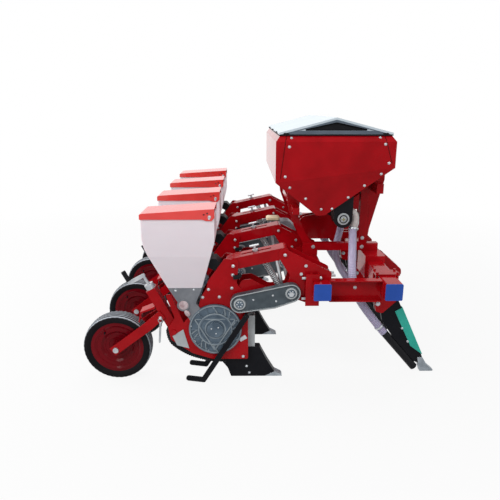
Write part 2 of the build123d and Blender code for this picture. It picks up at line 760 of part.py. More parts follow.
def unit_bracket():
    """Two hooked side webs, the plate that stands against the rear toolbar, and a hook plate on each side."""
    ux, uz = UPPER_PIVOT
    lx, lz = LOWER_PIVOT
    back = -BAR / 2
    low = BAR_BOTTOM - HOOK_OVER - CLAMP_T
    high = BAR_TOP + HOOK_OVER
    web = [(back - CLAMP_T, low), (back - CLAMP_T, BAR_TOP + FIT), (BAR / 2 + CLAMP_T, BAR_TOP + FIT),
           (BAR / 2 + CLAMP_T, BAR_TOP + 44), (ux - 14, uz + 42), (ux - 34, uz + 18), (ux - 30, uz - 26),
           (lx - 4, lz + 92), (lx - 34, lz + 10), (lx - 24, lz - 34)]
    rounds = [0, 0, 10, 16, 16, 16, 16, 40, 20, 24]
    side = HOOK_Y + HOOK_T
    bracket = box(back - CLAMP_T, back, -side, side, low, high)
    for y in (-PLATE_OUT, PLATE_IN):
        bracket += plate(web, y, y + PLATE_T, rounds)
    hook = [(HOOK_X[0], low), (HOOK_X[1], low), (HOOK_X[1], BAR_BOTTOM - FIT), (back, BAR_BOTTOM - FIT),
            (back, BAR_TOP + FIT), (HOOK_X[1], BAR_TOP + FIT), (HOOK_X[1], high), (HOOK_X[0], high)]
    for y in (-side, HOOK_Y):
        bracket += plate(hook, y, y + HOOK_T)
    for y0, y1 in ((-side, -PLATE_OUT), (PLATE_OUT, side)):
        bracket += box(HOOK_X[1] - HOOK_T, HOOK_X[1], y0, y1, BAR_TOP + FIT, high)
        bracket += box(HOOK_X[1] - HOOK_T, HOOK_X[1], y0, y1, low, BAR_BOTTOM - FIT)
    bracket -= rod(UPPER_PIVOT, PIN_R + FIT, -PLATE_OUT, PLATE_OUT)
    bracket -= rod(LOWER_PIVOT, SHAFT_R + FIT, -PLATE_OUT, PLATE_OUT)
    for bolt in clamp_bolts(FIT) + side_bolts(FIT):
        bracket -= bolt
    return bracket


def bolt_levels():
    """Heights of the bolts that pass just below and just above the rear toolbar."""
    gap = BAR / 2 + NUT_R + 2 * FIT
    return BAR_Z - gap, BAR_Z + gap


def clamp_bolts(grow=0):
    """Bolts between the webs, from the rear plate to the front clamp."""
    reach = BAR / 2 + CLAMP_T + CLAMP_REACH
    return [rod_x(-reach, reach, y, z, CLAMP_BOLT_R + grow)
            for y in (-CLAMP_BOLT_Y, CLAMP_BOLT_Y) for z in bolt_levels()]


def side_bolts(grow=0):
    """Shafts of the bolts outside the webs, from the rear plate to the hook plates' lugs."""
    return [rod_x(SIDE_BOLT_REAR_X, HOOK_X[1] + NUT_T, y, z, CLAMP_BOLT_R + grow)
            for y in (-SIDE_BOLT_Y, SIDE_BOLT_Y) for z in bolt_levels()]


def unit_clamps():
    """Front clamp plate with its four bolts, and the four bolts outside the webs with their nuts."""
    front = BAR / 2
    clamp = Part()
    for z in bolt_levels():
        clamp += box(front, front + CLAMP_T, -CLAMP_HALF, CLAMP_HALF, z - 2 * NUT_R + 6, z + 2 * NUT_R - 6)
    clamp += box(front, front + CLAMP_T, -CLAMP_BOLT_Y, CLAMP_BOLT_Y, BAR_BOTTOM, BAR_TOP)
    pieces = [clamp + clamp_bolts()]
    rear = -BAR / 2 - CLAMP_T
    for y in (-SIDE_BOLT_Y, SIDE_BOLT_Y):
        for z in bolt_levels():
            bolt = rod_x(SIDE_BOLT_REAR_X, HOOK_X[1] + NUT_T, y, z, CLAMP_BOLT_R)
            bolt += rod_x(rear - NUT_T, rear - FIT, y, z, NUT_R)
            bolt += rod_x(HOOK_X[1] + FIT, HOOK_X[1] + NUT_T, y, z, NUT_R)
            pieces.append(bolt)
    return pieces


def upper_link():
    """Slotted channel between the upper pivots, open below."""
    half = LINK_W / 2
    inner = half - LINK_WALL
    spots = [(-26, -28), (-26, 26), (-10, LINK_TOP), (LINK_LENGTH + 44, LINK_TOP), (LINK_LENGTH + 30, -28)]
    link = plate([on_upper(*spot) for spot in spots], -half, half, [14, 10, 20, 14, 14])
    link -= plate([on_upper(along, across - LINK_WALL) for along, across in spots], -inner, inner)
    for reach in (-100, LINK_LENGTH + 20):
        end = [on_upper(reach + along, across) for along, across in (
            (0, -60), (80, -60), (80, LINK_TOP - LINK_WALL), (0, LINK_TOP - LINK_WALL))]
        link -= plate(end, -inner, inner)
    slot = [on_upper(along, across) for along, across in (
        (SLOT_ALONG[0], 0), (SLOT_ALONG[1], 0), (SLOT_ALONG[1], 2 * LINK_TOP), (SLOT_ALONG[0], 2 * LINK_TOP))]
    link -= plate(slot, -SLOT_HALF, SLOT_HALF)
    link -= rod(UPPER_PIVOT, PIN_R + FIT, -half, half)
    return link - rod(UPPER_REAR, PIN_R + FIT, -half, half)


def lower_link():
    """Humped cheeks joined by a floor between the lower pivots."""
    half = LINK_W / 2
    spots = [(-32, LINK_FLOOR, 20), (-32, 30, 20), (120, 36, 60), (LINK_LENGTH - 96, 118, 30),
             (LINK_LENGTH - 40, 124, 30), (LINK_LENGTH + 24, 40, 20), (LINK_LENGTH + 30, LINK_FLOOR, 20)]
    cheek = [on_lower(along, across) for along, across, _ in spots]
    rounds = [radius for _, _, radius in spots]
    floor = [on_lower(along, across) for along, across in (
        (30, LINK_FLOOR), (30, LINK_FLOOR + LINK_WALL), (LINK_LENGTH - 30, LINK_FLOOR + LINK_WALL),
        (LINK_LENGTH - 30, LINK_FLOOR))]
    link = plate(floor, -half, half)
    for y in (-half, half - LINK_WALL):
        link += plate(cheek, y, y + LINK_WALL, rounds)
    link -= rod(LOWER_PIVOT, SHAFT_R + FIT, -half, half)
    return link - rod(LOWER_REAR, PIN_R + FIT, -half, half)


def link_pins():
    """Pivot pins of the links and of the press wheel's arm."""
    head = PLATE_OUT + PIN_HEAD_T
    pins = []
    for at in (UPPER_PIVOT, UPPER_REAR, ARM_LOW):
        pin = rod(at, PIN_R, -head, head)
        pin += [rod(at, PIN_HEAD_R, -head, -PLATE_OUT - FIT), rod(at, PIN_HEAD_R, PLATE_OUT + FIT, head)]
        pins.append(pin)
    lower = rod(LOWER_REAR, PIN_R, -PLATE_OUT - CASE_W / 2, head)
    return pins + [lower + rod(LOWER_REAR, PIN_HEAD_R, PLATE_OUT + FIT, head)]


def chain_case():
    """Closed drive case on the right side of a row's lower link, with a raised rim and hub discs."""
    y1 = -PLATE_OUT - CASE_GAP
    y0 = y1 - CASE_W
    share, drop, bulge_r = CASE_BULGE
    bulge = on_lower(LINK_LENGTH * share, drop)
    circles = [(LOWER_PIVOT, CASE_R), (LOWER_REAR, CASE_R), (bulge, bulge_r)]
    edges = [edge for at, radius in circles for edge in (Pos(at[0], -at[1]) * Circle(radius)).edges()]
    hull = make_hull(edges)
    place = Plane(origin=(0, y0, 0), x_dir=(1, 0, 0), z_dir=(0, 1, 0))
    case = extrude(place * hull, amount=CASE_W, dir=(0, 1, 0))
    case -= extrude(place * offset(hull, -CASE_RIM), amount=CASE_RECESS, dir=(0, 1, 0))
    for at in (LOWER_PIVOT, LOWER_REAR):
        case += rod(at, CASE_HUB_R, y0, y0 + CASE_RECESS)
        case += rod(at, CASE_BOSS_R, y0 - CASE_BOSS_T, y0)
    case -= rod(LOWER_PIVOT, SHAFT_R + FIT, y0 - CASE_BOSS_T, y1)
    return case - rod(LOWER_REAR, PIN_R + FIT, y1 - CASE_W / 2 - CASE_GAP, y1)


def floor_lift(high, along, radius):
    """Lowest point of a leaning round bar's middle line that keeps its end off the lower link's floor."""
    floor = LINK_FLOOR + LINK_WALL
    base = on_lower(along, floor)
    run = (high[0] - base[0]) * LINK_RUN[0] + (high[1] - base[1]) * LINK_RUN[1]
    lean = abs(run) / LINK_LENGTH / math.dist(base, high)
    return on_lower(along, floor + radius * lean + FIT)


def link_spring():
    """Down-pressure spring between the links, as a ribbed sleeve."""
    high = on_upper(SPRING_ALONG[1], LINK_TOP - LINK_WALL - SPRING_R / 2)
    low = floor_lift(high, SPRING_ALONG[0], SPRING_R - SPRING_WIRE)
    length = math.dist(low, high)
    step = length / SPRING_COILS
    edge = [(SPRING_R - SPRING_WIRE, 0)]
    for coil in range(SPRING_COILS):
        edge += [(SPRING_R, (coil + 0.5) * step), (SPRING_R - SPRING_WIRE / 2, (coil + 1) * step)]
    profile = make_face(Polyline((0, 0), *edge, (0, length), close=True).edges())
    place = bar_plane(low, high, SPRING_Y)
    stand = Plane(origin=place.origin, x_dir=place.y_dir, z_dir=place.x_dir)
    return stand * revolve(Plane.XZ * profile, axis=Axis.Z)


def adjusters():
    """T handle over the upper link's slot, and the pressure rod between the links."""
    foot = on_upper(HANDLE_ALONG, LINK_TOP)
    nut = on_upper(HANDLE_ALONG, LINK_TOP + HANDLE_NUT_T)
    top = on_upper(HANDLE_ALONG, HANDLE_RISE)
    ends = [on_upper(HANDLE_ALONG + along, HANDLE_RISE) for along in (-HANDLE_HALF, HANDLE_HALF)]
    handle = round_bar(foot, nut, HANDLE_NUT_R) + round_bar(nut, top, HANDLE_R) + round_bar(*ends, HANDLE_R)
    high = on_upper(ROD_ALONG[1], LINK_TOP - LINK_WALL - ROD_R / 2)
    low = floor_lift(high, ROD_ALONG[0], ROD_R)
    return [handle, round_bar(low, high, ROD_R, ROD_Y)]


def corner(anchor, dx, dz):
    """Point at an offset from one of the row's anchor points, in that anchor's unit."""
    at, unit = ANCHORS[anchor]
    return (at[0] + dx * unit, at[1] + dz * unit)


def neck_outline(grow):
    """Outline of the seed neck from the hopper's floor into the meter."""
    below = [(x + grow_x * grow, z + grow_z * grow)
             for dx, dz, grow_x, grow_z in NECK for x, z in [corner("meter", dx, dz)]]
    return [(SEED_FLOOR_REAR_X - grow, SEED_FLOOR_Z), (SEED_FLOOR_FRONT_X + grow, SEED_FLOOR_Z), *below]


def side_plate(y0):
    """Row frame cheek that wraps the meter and leaves the seed neck free."""
    shape = [corner(anchor, dx, dz) for anchor, dx, dz, _ in CHEEK]
    cheek = plate(shape, y0, y0 + PLATE_T, [radius for _, _, _, radius in CHEEK])
    cheek -= rod(METER_AT, METER_R + FIT, y0, y0 + PLATE_T)
    cheek -= plate(neck_outline(FIT), y0, y0 + PLATE_T)
    for at in (UPPER_REAR, LOWER_REAR, ARM_LOW, COVER_PIVOT):
        cheek -= rod(at, PIN_R + FIT, y0, y0 + PLATE_T)
    return cheek


def seed_meter():
    """Drum that stands through both cheeks."""
    return rod(METER_AT, METER_R, -METER_HALF, METER_HALF)


def meter_cover():
    """Ribbed cover on the meter's right face."""
    y0 = -METER_HALF - COVER_T
    ring = METER_R * COVER_RING
    cover = rod(METER_AT, METER_R, y0 + COVER_T / 2, -METER_HALF)
    for radius in (METER_R, ring):
        cover += rod(METER_AT, radius, y0, -METER_HALF) - rod(METER_AT, radius - COVER_RIM, y0, -METER_HALF)
    cover += rod(METER_AT, METER_R * COVER_HUB, y0 - COVER_BOSS, -METER_HALF)
    face = Plane(origin=(METER_AT[0], y0, METER_AT[1]), x_dir=(1, 0, 0), z_dir=(0, 1, 0))
    reach = (ring + METER_R - COVER_RIM) / 2
    for spot in PolarLocations(reach, COVER_RIBS):
        rib = Box(METER_R - ring, COVER_RIB_T, COVER_T, align=(Align.CENTER, Align.CENTER, Align.MIN))
        cover += face * spot * rib
    return cover


def seed_neck():
    """Moulded neck between the seed hopper and the meter."""
    return plate(neck_outline(0), -NECK_HALF, NECK_HALF) - rod(METER_AT, METER_R + FIT, -NECK_HALF, NECK_HALF)


def seed_form(inset):
    """Outer form of the seed hopper, or its inside where inset is the wall's thickness."""
    top = SEED_TOP_Z + (SEED_WALL if inset else 0)
    rear = SEED_REAR_X + inset
    front = SEED_FRONT_X - inset
    side = outline([
        (rear, top), (rear, SEED_REAR_FOLD_Z), (SEED_FLOOR_REAR_X + inset, SEED_FLOOR_Z + inset),
        (SEED_FLOOR_FRONT_X - inset, SEED_FLOOR_Z + inset), (front, SEED_FRONT_FOLD_Z), (front, top)],
        [0, SEED_REAR_ROUND, SEED_FLOOR_ROUND, SEED_FLOOR_ROUND, SEED_FRONT_ROUND, 0])
    half_top = SEED_HALF_TOP - inset
    half_floor = SEED_HALF_FLOOR - inset
    body = extrude(side, amount=half_top, dir=(0, 1, 0), both=True)
    across = make_face(Polyline(
        (0, -half_top, top), (0, -half_top, SEED_SIDE_FOLD_Z), (0, -half_floor, SEED_FLOOR_Z),
        (0, half_floor, SEED_FLOOR_Z), (0, half_top, SEED_SIDE_FOLD_Z), (0, half_top, top),
        close=True).edges())
    return body & (Pos(SEED_REAR_X, 0, 0) * extrude(across, amount=SEED_FRONT_X - SEED_REAR_X, dir=(1, 0, 0)))


def seed_hopper():
    """Moulded seed hopper, open above, with the lid's pivot studs."""
    shell = seed_form(0)
    stud = SEED_HALF_TOP + LID_GAP + LID_WALL + 2
    shell += rod(LID_PIVOT, LID_PIN_R, -stud, stud)
    return shell - seed_form(SEED_WALL)


def hopper_clip():
    """Clip between the cheeks that steadies the seed hopper's front wall."""
    return plate(CLIP, -PLATE_IN, PLATE_IN) - seed_form(0)


def seed_lid():
    """Lid over the seed hopper, open at the front and pivoted on the hopper's studs."""
    px, pz = LID_PIVOT
    half = SEED_HALF_TOP + LID_GAP
    x0 = SEED_REAR_X - LID_GAP - LID_WALL
    x1 = SEED_FRONT_X + LID_GAP
    rear = SEED_TOP_Z + LID_OVER
    front = rear + LID_RISE
    foot = SEED_TOP_Z - LID_DROP
    side = [(x0, foot), (x0, rear - 6), (x0 + LID_OVER, rear), (x1, front), (x1, pz + LID_WALL),
            (px + LID_EAR, pz - LID_EAR), (px - LID_EAR - LID_WALL, pz - LID_EAR), (px - 40, foot)]
    lid = plate(side, -half - LID_WALL, half + LID_WALL)
    room = [(x0 + LID_WALL, 0), (x0 + LID_WALL, rear - 8), (x0 + LID_EAR, rear - LID_WALL - 1),
            (x1 + LID_OVER, front - LID_WALL), (x1 + LID_OVER, 0)]
    lid -= plate(room, -half, half)
    return lid - rod(LID_PIVOT, LID_PIN_R + FIT, -2 * half, 2 * half)


def seed_tube():
    """Drop tube between the cheeks, ahead of the meter, held by a cross pin."""
    x0 = METER_AT[0] + METER_R + TUBE_GAP
    x1 = x0 + TUBE_W
    half = SHOE_HALF - TUBE_WALL
    bore = half - TUBE_WALL
    top = COVER_PIVOT[1] - PIN_HEAD_R - PIN_R
    tube = box(x0, x1, -half, half, TUBE_FOOT_Z, top)
    tube -= box(x0 + TUBE_WALL, x1 - TUBE_WALL, -bore, bore, TUBE_FOOT_Z, top)
    dx, z, radius = TUBE_PIN
    return tube + [rod((x0 + dx, z), radius, -PLATE_IN, -bore), rod((x0 + dx, z), radius, bore, PLATE_IN)]


def opener_shoe():
    """Furrow opener with a hollowed nose, bolted between the cheeks."""
    mx = METER_AT[0]
    rounds = [radius for _, _, radius in SHOE]
    shoe = plate([(mx + dx, z) for dx, z, _ in SHOE], -SHOE_HALF, SHOE_HALF, rounds)
    for dx, z in SHOE_BOLTS:
        shoe += rod((mx + dx, z), SHOE_BOLT_R, -PLATE_IN, PLATE_IN)
    return shoe


def shoe_point():
    """Hard point in front of the opener."""
    return plate([(METER_AT[0] + dx, z) for dx, z in SHOE_TIP], -SHOE_HALF, SHOE_HALF) - opener_shoe()


def cover_arms():
    """Pair of covering arms on one cross shaft."""
    knee = (COVER_PIVOT[0] + COVER_KNEE, COVER_ARM_W / 2)
    heel = (COVER_PIVOT[0] + COVER_HEEL[0], COVER_ARM_W / 2 + COVER_HEEL[1])
    end = ARM_Y + COVER_ARM_T + COVER_ARM_GAP
    arms = rod(COVER_PIVOT, PIN_R, -end, end)
    for y in (-ARM_Y - COVER_ARM_T, ARM_Y):
        arms += strip(COVER_PIVOT, knee, COVER_ARM_W, y, y + COVER_ARM_T)
        arms += strip(knee, heel, COVER_ARM_W, y, y + COVER_ARM_T)
    return arms


def side_shield():
    """Mud shield on the right cheek behind the meter."""
    return plate([corner("arm", dx, dz) for dx, dz in SHIELD], -PLATE_OUT - SHIELD_T, -PLATE_OUT)


# Press wheel

def wheel_arm():
    """Square tube with a forked end that carries the press wheel."""
    arm = tube_run(ARM_LOW, ARM_HIGH, ARM_TUBE, ARM_TUBE_WALL)
    arm += rod(ARM_LOW, PIN_R + 12, -PLATE_IN, PLATE_IN)
    place = bar_plane(FORK_ROOT, WHEEL_AT)
    end = math.dist(FORK_ROOT, WHEEL_AT) + FORK_END
    inner = ARM_TUBE / 2
    out = FORK_IN
    first, last = FORK_BEND
    for side in (-1, 1):
        bend = [(FORK_HEEL, inner), (first, inner), (last, out), (end, out), (end, out + FORK_T),
                (last - 6, out + FORK_T), (first - 6, inner + FORK_T), (FORK_HEEL, inner + FORK_T)]
        face = make_face(Polyline(*[(along, side * y) for along, y in bend], close=True).edges())
        arm += extrude(place * face, amount=FORK_W / 2, both=True)
    arm -= rod(WHEEL_AT, AXLE_R + FIT, -out - FORK_T, out + FORK_T)
    return arm - rod(ARM_LOW, PIN_R + FIT, -PLATE_IN, PLATE_IN)


def wheel_axle():
    """Axle bolt through the fork."""
    face = FORK_IN + FORK_T
    end = face + AXLE_HEAD
    axle = rod(WHEEL_AT, AXLE_R, -end, end)
    heads = [rod(WHEEL_AT, AXLE_R + 7, -end, -face - FIT), rod(WHEEL_AT, AXLE_R + 7, face + FIT, end)]
    spacers = [rod(WHEEL_AT, AXLE_R + 6, -FORK_IN + FIT, -RIM_W / 2 - 2 * FIT),
               rod(WHEEL_AT, AXLE_R + 6, RIM_W / 2 + 2 * FIT, FORK_IN - FIT)]
    return axle + heads + spacers


def tyre():
    """Tyre on the wheel's own axis."""
    half = TYRE_W / 2
    seat = RIM_W / 2 - 4
    bead = RIM_R + RIM_LIP + 2
    wall = WHEEL_R - bead
    side = [(RIM_R + FIT, seat, 0), (bead, seat, 0)]
    side += [(bead + wall * up, half - wall * inward, wall * radius) for up, inward, radius in SIDEWALL]
    spots = [(r, -y, 0) for r, y, _ in side] + [(r, y, 0) for r, y, _ in reversed(side)]
    rounds = [radius for _, _, radius in side]
    profile = make_face(FilletPolyline(*spots, radius=rounds + rounds[::-1], close=True).edges())
    return revolve(profile, axis=Axis.Y)


def rim():
    """Dished rim with its hub."""
    half = RIM_W / 2
    seat = half - 4
    lip = RIM_R + RIM_LIP
    near = [(AXLE_R + FIT, half), (HUB_R, half), (HUB_R, 14), (RIM_R - 62, 20), (RIM_R - 50, 30),
            (RIM_R - 20, 34), (RIM_R - 8, half), (lip, half), (lip, seat + FIT), (RIM_R, seat + FIT)]
    far = [(RIM_R, seat + FIT), (lip, seat + FIT), (lip, half), (RIM_R - 8, half), (RIM_R - 20, 0),
           (RIM_R - 50, -8), (RIM_R - 62, -4), (HUB_R, 2), (HUB_R, half), (AXLE_R + FIT, half)]
    spots = [(r, -y, 0) for r, y in near] + [(r, y, 0) for r, y in far]
    return revolve(make_face(Polyline(*spots, close=True).edges()), axis=Axis.Y)


def scraper():
    """Bent blade that keeps the tyre clean."""
    reach = WHEEL_R + SCRAPER_GAP
    angle = math.radians(SCRAPER_ANGLE)
    tip = (WHEEL_AT_X + reach * math.cos(angle), WHEEL_R + reach * math.sin(angle))
    knee = (tip[0] + 14, tip[1] + 66)
    root = min(on_arm(SCRAPER_SEAT, ARM_TUBE / 2), on_arm(SCRAPER_SEAT, -ARM_TUBE / 2))
    shape = [tip, knee, root, (root[0] + 4, root[1] - 12), (knee[0] + 8, knee[1] - 8),
             (tip[0] + 6, tip[1] - 3)]
    tube = bar_plane(ARM_LOW, ARM_HIGH) * Box(
        ARM_LENGTH, ARM_TUBE, ARM_TUBE, align=(Align.MIN, Align.CENTER, Align.CENTER))
    return plate(shape, -SCRAPER_HALF, SCRAPER_HALF) - tube


def depth_crank():
    """Depth screw on top of the wheel arm, with its collar and crank."""
    collar = on_arm(ARM_LENGTH + CRANK_COLLAR)
    top = on_arm(ARM_LENGTH + CRANK_RISE)
    end = on_arm(ARM_LENGTH + CRANK_RISE, -CRANK_ARM)
    tip = on_arm(ARM_LENGTH + CRANK_RISE + GRIP_L + GRIP_PIN_R, -CRANK_ARM)
    crank = round_bar(ARM_HIGH, collar, ARM_TUBE / 2 - 2) + round_bar(collar, top, CRANK_R)
    return crank + strip(top, end, CRANK_W, -CRANK_T / 2, CRANK_T / 2) + round_bar(end, tip, GRIP_PIN_R)


def crank_grip():
    """Turning grip on the crank."""
    base = ARM_LENGTH + CRANK_RISE
    low = on_arm(base + GRIP_GAP, -CRANK_ARM)
    high = on_arm(base + GRIP_GAP + GRIP_L, -CRANK_ARM)
    bore = on_arm(base + GRIP_L + GRIP_PIN_R, -CRANK_ARM)
    return round_bar(low, high, GRIP_R) - round_bar(low, bore, GRIP_PIN_R + FIT)


# Drive

def drive_shaft():
    """Cross shaft of all the chain cases."""
    end = ROWS[-1] + SHAFT_OVERHANG
    return rod(LOWER_PIVOT, SHAFT_R, -end, end)


def drive_gearbox():
    """Gearbox on the rear toolbar between the middle rows."""
    back = -BAR / 2 - CLAMP_T
    shape = [(back + dx, BAR_TOP + dz) for dx, dz, _ in GEARBOX]
    case = plate(shape, -GEARBOX_HALF, GEARBOX_HALF, [radius for _, _, radius in GEARBOX])
    case += box(back, -BAR / 2, -GEARBOX_FOOT_HALF, GEARBOX_FOOT_HALF, BAR_BOTTOM, BAR_TOP)
    dx, dz, radius, half = GEARBOX_HUB
    case += rod((back + dx, BAR_TOP + dz), radius, -half, half)
    return case - rod(LOWER_PIVOT, SHAFT_R + FIT, -GEARBOX_FOOT_HALF, GEARBOX_FOOT_HALF)


def main():
    """Build every node."""
    os.makedirs("parts", exist_ok=True)
    bars = (0, FRONT_BAR_X)
    shanks = [shank_y(row) for row in ROWS]
    save("toolbar_tubes", *[toolbar(x) for x in bars])
    save("toolbar_caps", *[cap for x in bars for cap in mirrored(toolbar_cap(x))])
    save("cross_beams", *mirrored(cross_beam()))
    save("lower_hitch", *mirrored(lower_hitch()))
    save("hitch_mast", hitch_mast())
    save("stand_bases", *mirrored(stand_base()))
    save("stand_legs", *mirrored(front_leg()), *mirrored(rear_leg()))
    save("stand_rails", stand_rail(RAIL_FRONT), stand_rail(RAIL_REAR))
    save("fert_hopper", fert_hopper())
    save("fert_lid", fert_lid())
    save("fert_meters", *[meter for y in FEED_YS for meter in mirrored(fert_meter(y))])
    save("feed_shaft", feed_shaft())
    left_rows = [row for row in ROWS if row > 0]
    hoses = [hose for feed_y, row in zip(FEED_YS, left_rows) for hose in mirrored(fert_hose(feed_y, row))]
    save("fert_hoses", *hoses)
    pieces = {
        "shank_brackets": shank_bracket(), "shanks": shank(), "shin_plates": shin_plate(),
        "shank_points": shank_point(), "shank_boots": shank_boot(),
    }
    for name, shape in pieces.items():
        save(name, *[Pos(0, y, 0) * shape for y in shanks])
    save("drive_shaft", drive_shaft())
    save("drive_gearbox", drive_gearbox())
    save("link_pins", *on_rows(*link_pins()))
    save("side_plates", *on_rows(side_plate(-PLATE_OUT), side_plate(PLATE_IN)))
    save("unit_clamps", *on_rows(*unit_clamps()))
    save("adjuster_handles", *on_rows(*adjusters()))
    unit = {
        "unit_brackets": unit_bracket(), "upper_links": upper_link(), "lower_links": lower_link(),
        "link_springs": link_spring(), "chain_cases": chain_case(), "seed_meters": seed_meter(),
        "meter_covers": meter_cover(), "seed_necks": seed_neck(), "seed_hoppers": seed_hopper(),
        "hopper_clips": hopper_clip(), "seed_tubes": seed_tube(), "opener_shoes": opener_shoe(),
        "shoe_points": shoe_point(), "side_shields": side_shield(), "wheel_arms": wheel_arm(),
        "wheel_axles": wheel_axle(), "scrapers": scraper(), "depth_cranks": depth_crank(),
        "crank_grips": crank_grip(),
    }
    for name, shape in unit.items():
        save(name, *on_rows(shape))
    moving = {"seed_lid": seed_lid(), "cover_arms": cover_arms()}
    wheel = {"tyre": tyre(), "rim": rim()}
    for number, y in enumerate(ROWS, start=1):
        for name, shape in moving.items():
            save(f"{name}_{number}", Pos(0, y, 0) * shape)
        for name, shape in wheel.items():
            save(f"{name}_{number}", Pos(WHEEL_AT_X, y, WHEEL_R) * shape)


main()
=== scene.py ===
"""Finishes and small parts of a four-row planter, dressed over its CAD frame.

Places and sizes are written in millimetres: X forward from the rear toolbar's centre line, Y to the left
from the machine's middle, Z up from the ground. Meshes are in metres.
"""

import json
import logging
import math
from dataclasses import dataclass
from enum import Enum
from typing import Any, Callable, Sequence

import bmesh
import bpy
import numpy as np
from mathutils import Matrix, Vector
from mathutils.bvhtree import BVHTree

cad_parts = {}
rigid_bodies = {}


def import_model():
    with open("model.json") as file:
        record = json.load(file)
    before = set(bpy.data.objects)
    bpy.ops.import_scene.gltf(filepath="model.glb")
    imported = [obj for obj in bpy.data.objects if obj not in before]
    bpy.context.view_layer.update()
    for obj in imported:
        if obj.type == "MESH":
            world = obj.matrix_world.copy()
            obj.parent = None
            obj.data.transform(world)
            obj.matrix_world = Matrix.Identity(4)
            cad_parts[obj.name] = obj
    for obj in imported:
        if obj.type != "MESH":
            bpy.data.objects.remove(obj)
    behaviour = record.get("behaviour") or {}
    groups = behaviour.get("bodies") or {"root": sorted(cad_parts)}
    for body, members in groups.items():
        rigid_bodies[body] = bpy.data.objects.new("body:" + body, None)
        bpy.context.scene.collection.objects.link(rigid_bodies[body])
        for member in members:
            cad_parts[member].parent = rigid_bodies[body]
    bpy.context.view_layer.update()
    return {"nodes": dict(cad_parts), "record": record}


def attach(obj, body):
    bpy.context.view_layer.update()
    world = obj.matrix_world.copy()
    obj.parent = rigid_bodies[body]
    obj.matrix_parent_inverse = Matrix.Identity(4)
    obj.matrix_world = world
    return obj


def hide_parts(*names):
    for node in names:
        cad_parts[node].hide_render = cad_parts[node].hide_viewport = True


LOG = logging.getLogger("planter")

Pair = tuple[float, float]
Triple = tuple[float, float, float]
Color = Triple

MM = 0.001
BAR_X = 0.34025
MERGE_DISTANCE = 1e-6

# Directions and stations
ALONG = (1.0, 0.0, 0.0)
ACROSS = (0.0, 1.0, 0.0)
UP = (0.0, 0.0, 1.0)
RIGHT = (0.0, -1.0, 0.0)
SIDES = (-1.0, 1.0)
RIGHT_SIDE = (-1.0,)
ROWS = (-900.0, -300.0, 300.0, 900.0)
ROW_REACH = 200.0
HOPPER_REACH = 900.0

# Axes that several sub-assemblies share, as X and Z
WHEEL_AT = (-1225.0, 207.5)
METER_AT = (-622.0, 340.0)
FEEDER_AT = (184.0, 935.0)
CASE_HUBS = ((-175.0, 580.0), (-475.0, 515.0))

# Wear, dust and gloss that all finishes share
COAT_ROUGHNESS = 0.08
BUMP_HEIGHT = 0.001
CLOUD_STOPS = (0.36, 0.66)
EDGE_GAIN = 3.2
EDGE_LIMIT = 6.0
EDGE_PATCHES = 55.0
PATCH_GAIN = 1.1
PATCH_LEVEL = 0.62
WORN_ROUGHER = 0.15
DUST_TONE = (0.36, 0.31, 0.25)
DUST_FALL = 1.6
DUST_PATCHES = 9.0
DUST_LEVEL = 0.34
DUSTY_ROUGHER = 0.4
BRUSH_LINES = (60.0, 700.0, 700.0)
FLOW_LINES = (3.0, 3.0, 26.0)
FLOW_SHARE = 0.35
CLOUD_SHARE = 0.5
BEVEL_SAMPLES = 4

# Points to one swell of a ribbed or rippled line
WAVE_STEPS = 4


def spot(x: Any, y: Any, z: Any) -> np.ndarray:
    """Turn millimetres off the rear toolbar into metres of the shared frame.

    Args:
        x: Distance ahead of the rear toolbar, a number or an array.
        y: Distance to the left of the middle.
        z: Height over the ground.

    Returns:
        Points with X, Y and Z on the last axis.
    """
    x, y, z = np.broadcast_arrays(x, y, z)
    return np.stack([x * MM + BAR_X, y * MM, z * MM], axis=-1)


def unit(vectors: np.ndarray) -> np.ndarray:
    """Vectors of length one along the last axis."""
    return vectors / np.linalg.norm(vectors, axis=-1, keepdims=True)


def full_turn(steps: int) -> np.ndarray:
    """Even angles once round."""
    return np.linspace(0.0, math.tau, steps, endpoint=False)


def on_circle(centre: Sequence[Any], radius: Any, turn: np.ndarray) -> np.ndarray:
    """X and Z of places about a centre in the side view: x = cx + r cos t, z = cz + r sin t."""
    return np.stack([centre[0] + radius * np.cos(turn), centre[1] + radius * np.sin(turn)])


def wave(count: int) -> np.ndarray:
    """Cosine of the way along a line, one swell every few points."""
    return np.cos(np.arange(count) * math.tau / WAVE_STEPS)


@dataclass
class Form:
    """Points and four-cornered faces of a shape that is not yet a mesh."""

    points: np.ndarray
    faces: np.ndarray

    def copies(self, turns: np.ndarray, places: np.ndarray) -> "Form":
        """Set copies of the form: each point is turned and moved to its place.

        Args:
            turns: One 3 by 3 rotation a copy, or one for all.
            places: One point a copy, in metres.

        Returns:
            All copies as one form.
        """
        points = np.einsum("kij,nj->kni", turns, self.points) + places[:, None, :]
        steps = np.arange(len(places))[:, None, None] * len(self.points)
        return Form(points.reshape(-1, 3), (self.faces[None] + steps).reshape(-1, 4))

    def moved(self, place: np.ndarray) -> "Form":
        """The form carried to a place in metres."""
        return Form(self.points + place, self.faces)


def joined(forms: Sequence[Form]) -> Form:
    """Put several forms into one.

    Args:
        forms: The forms, in order.

    Returns:
        One form with all their points and faces.
    """
    starts = np.cumsum([0] + [len(form.points) for form in forms[:-1]])
    return Form(
        np.concatenate([form.points for form in forms]),
        np.concatenate([form.faces + start for form, start in zip(forms, starts)]),
    )


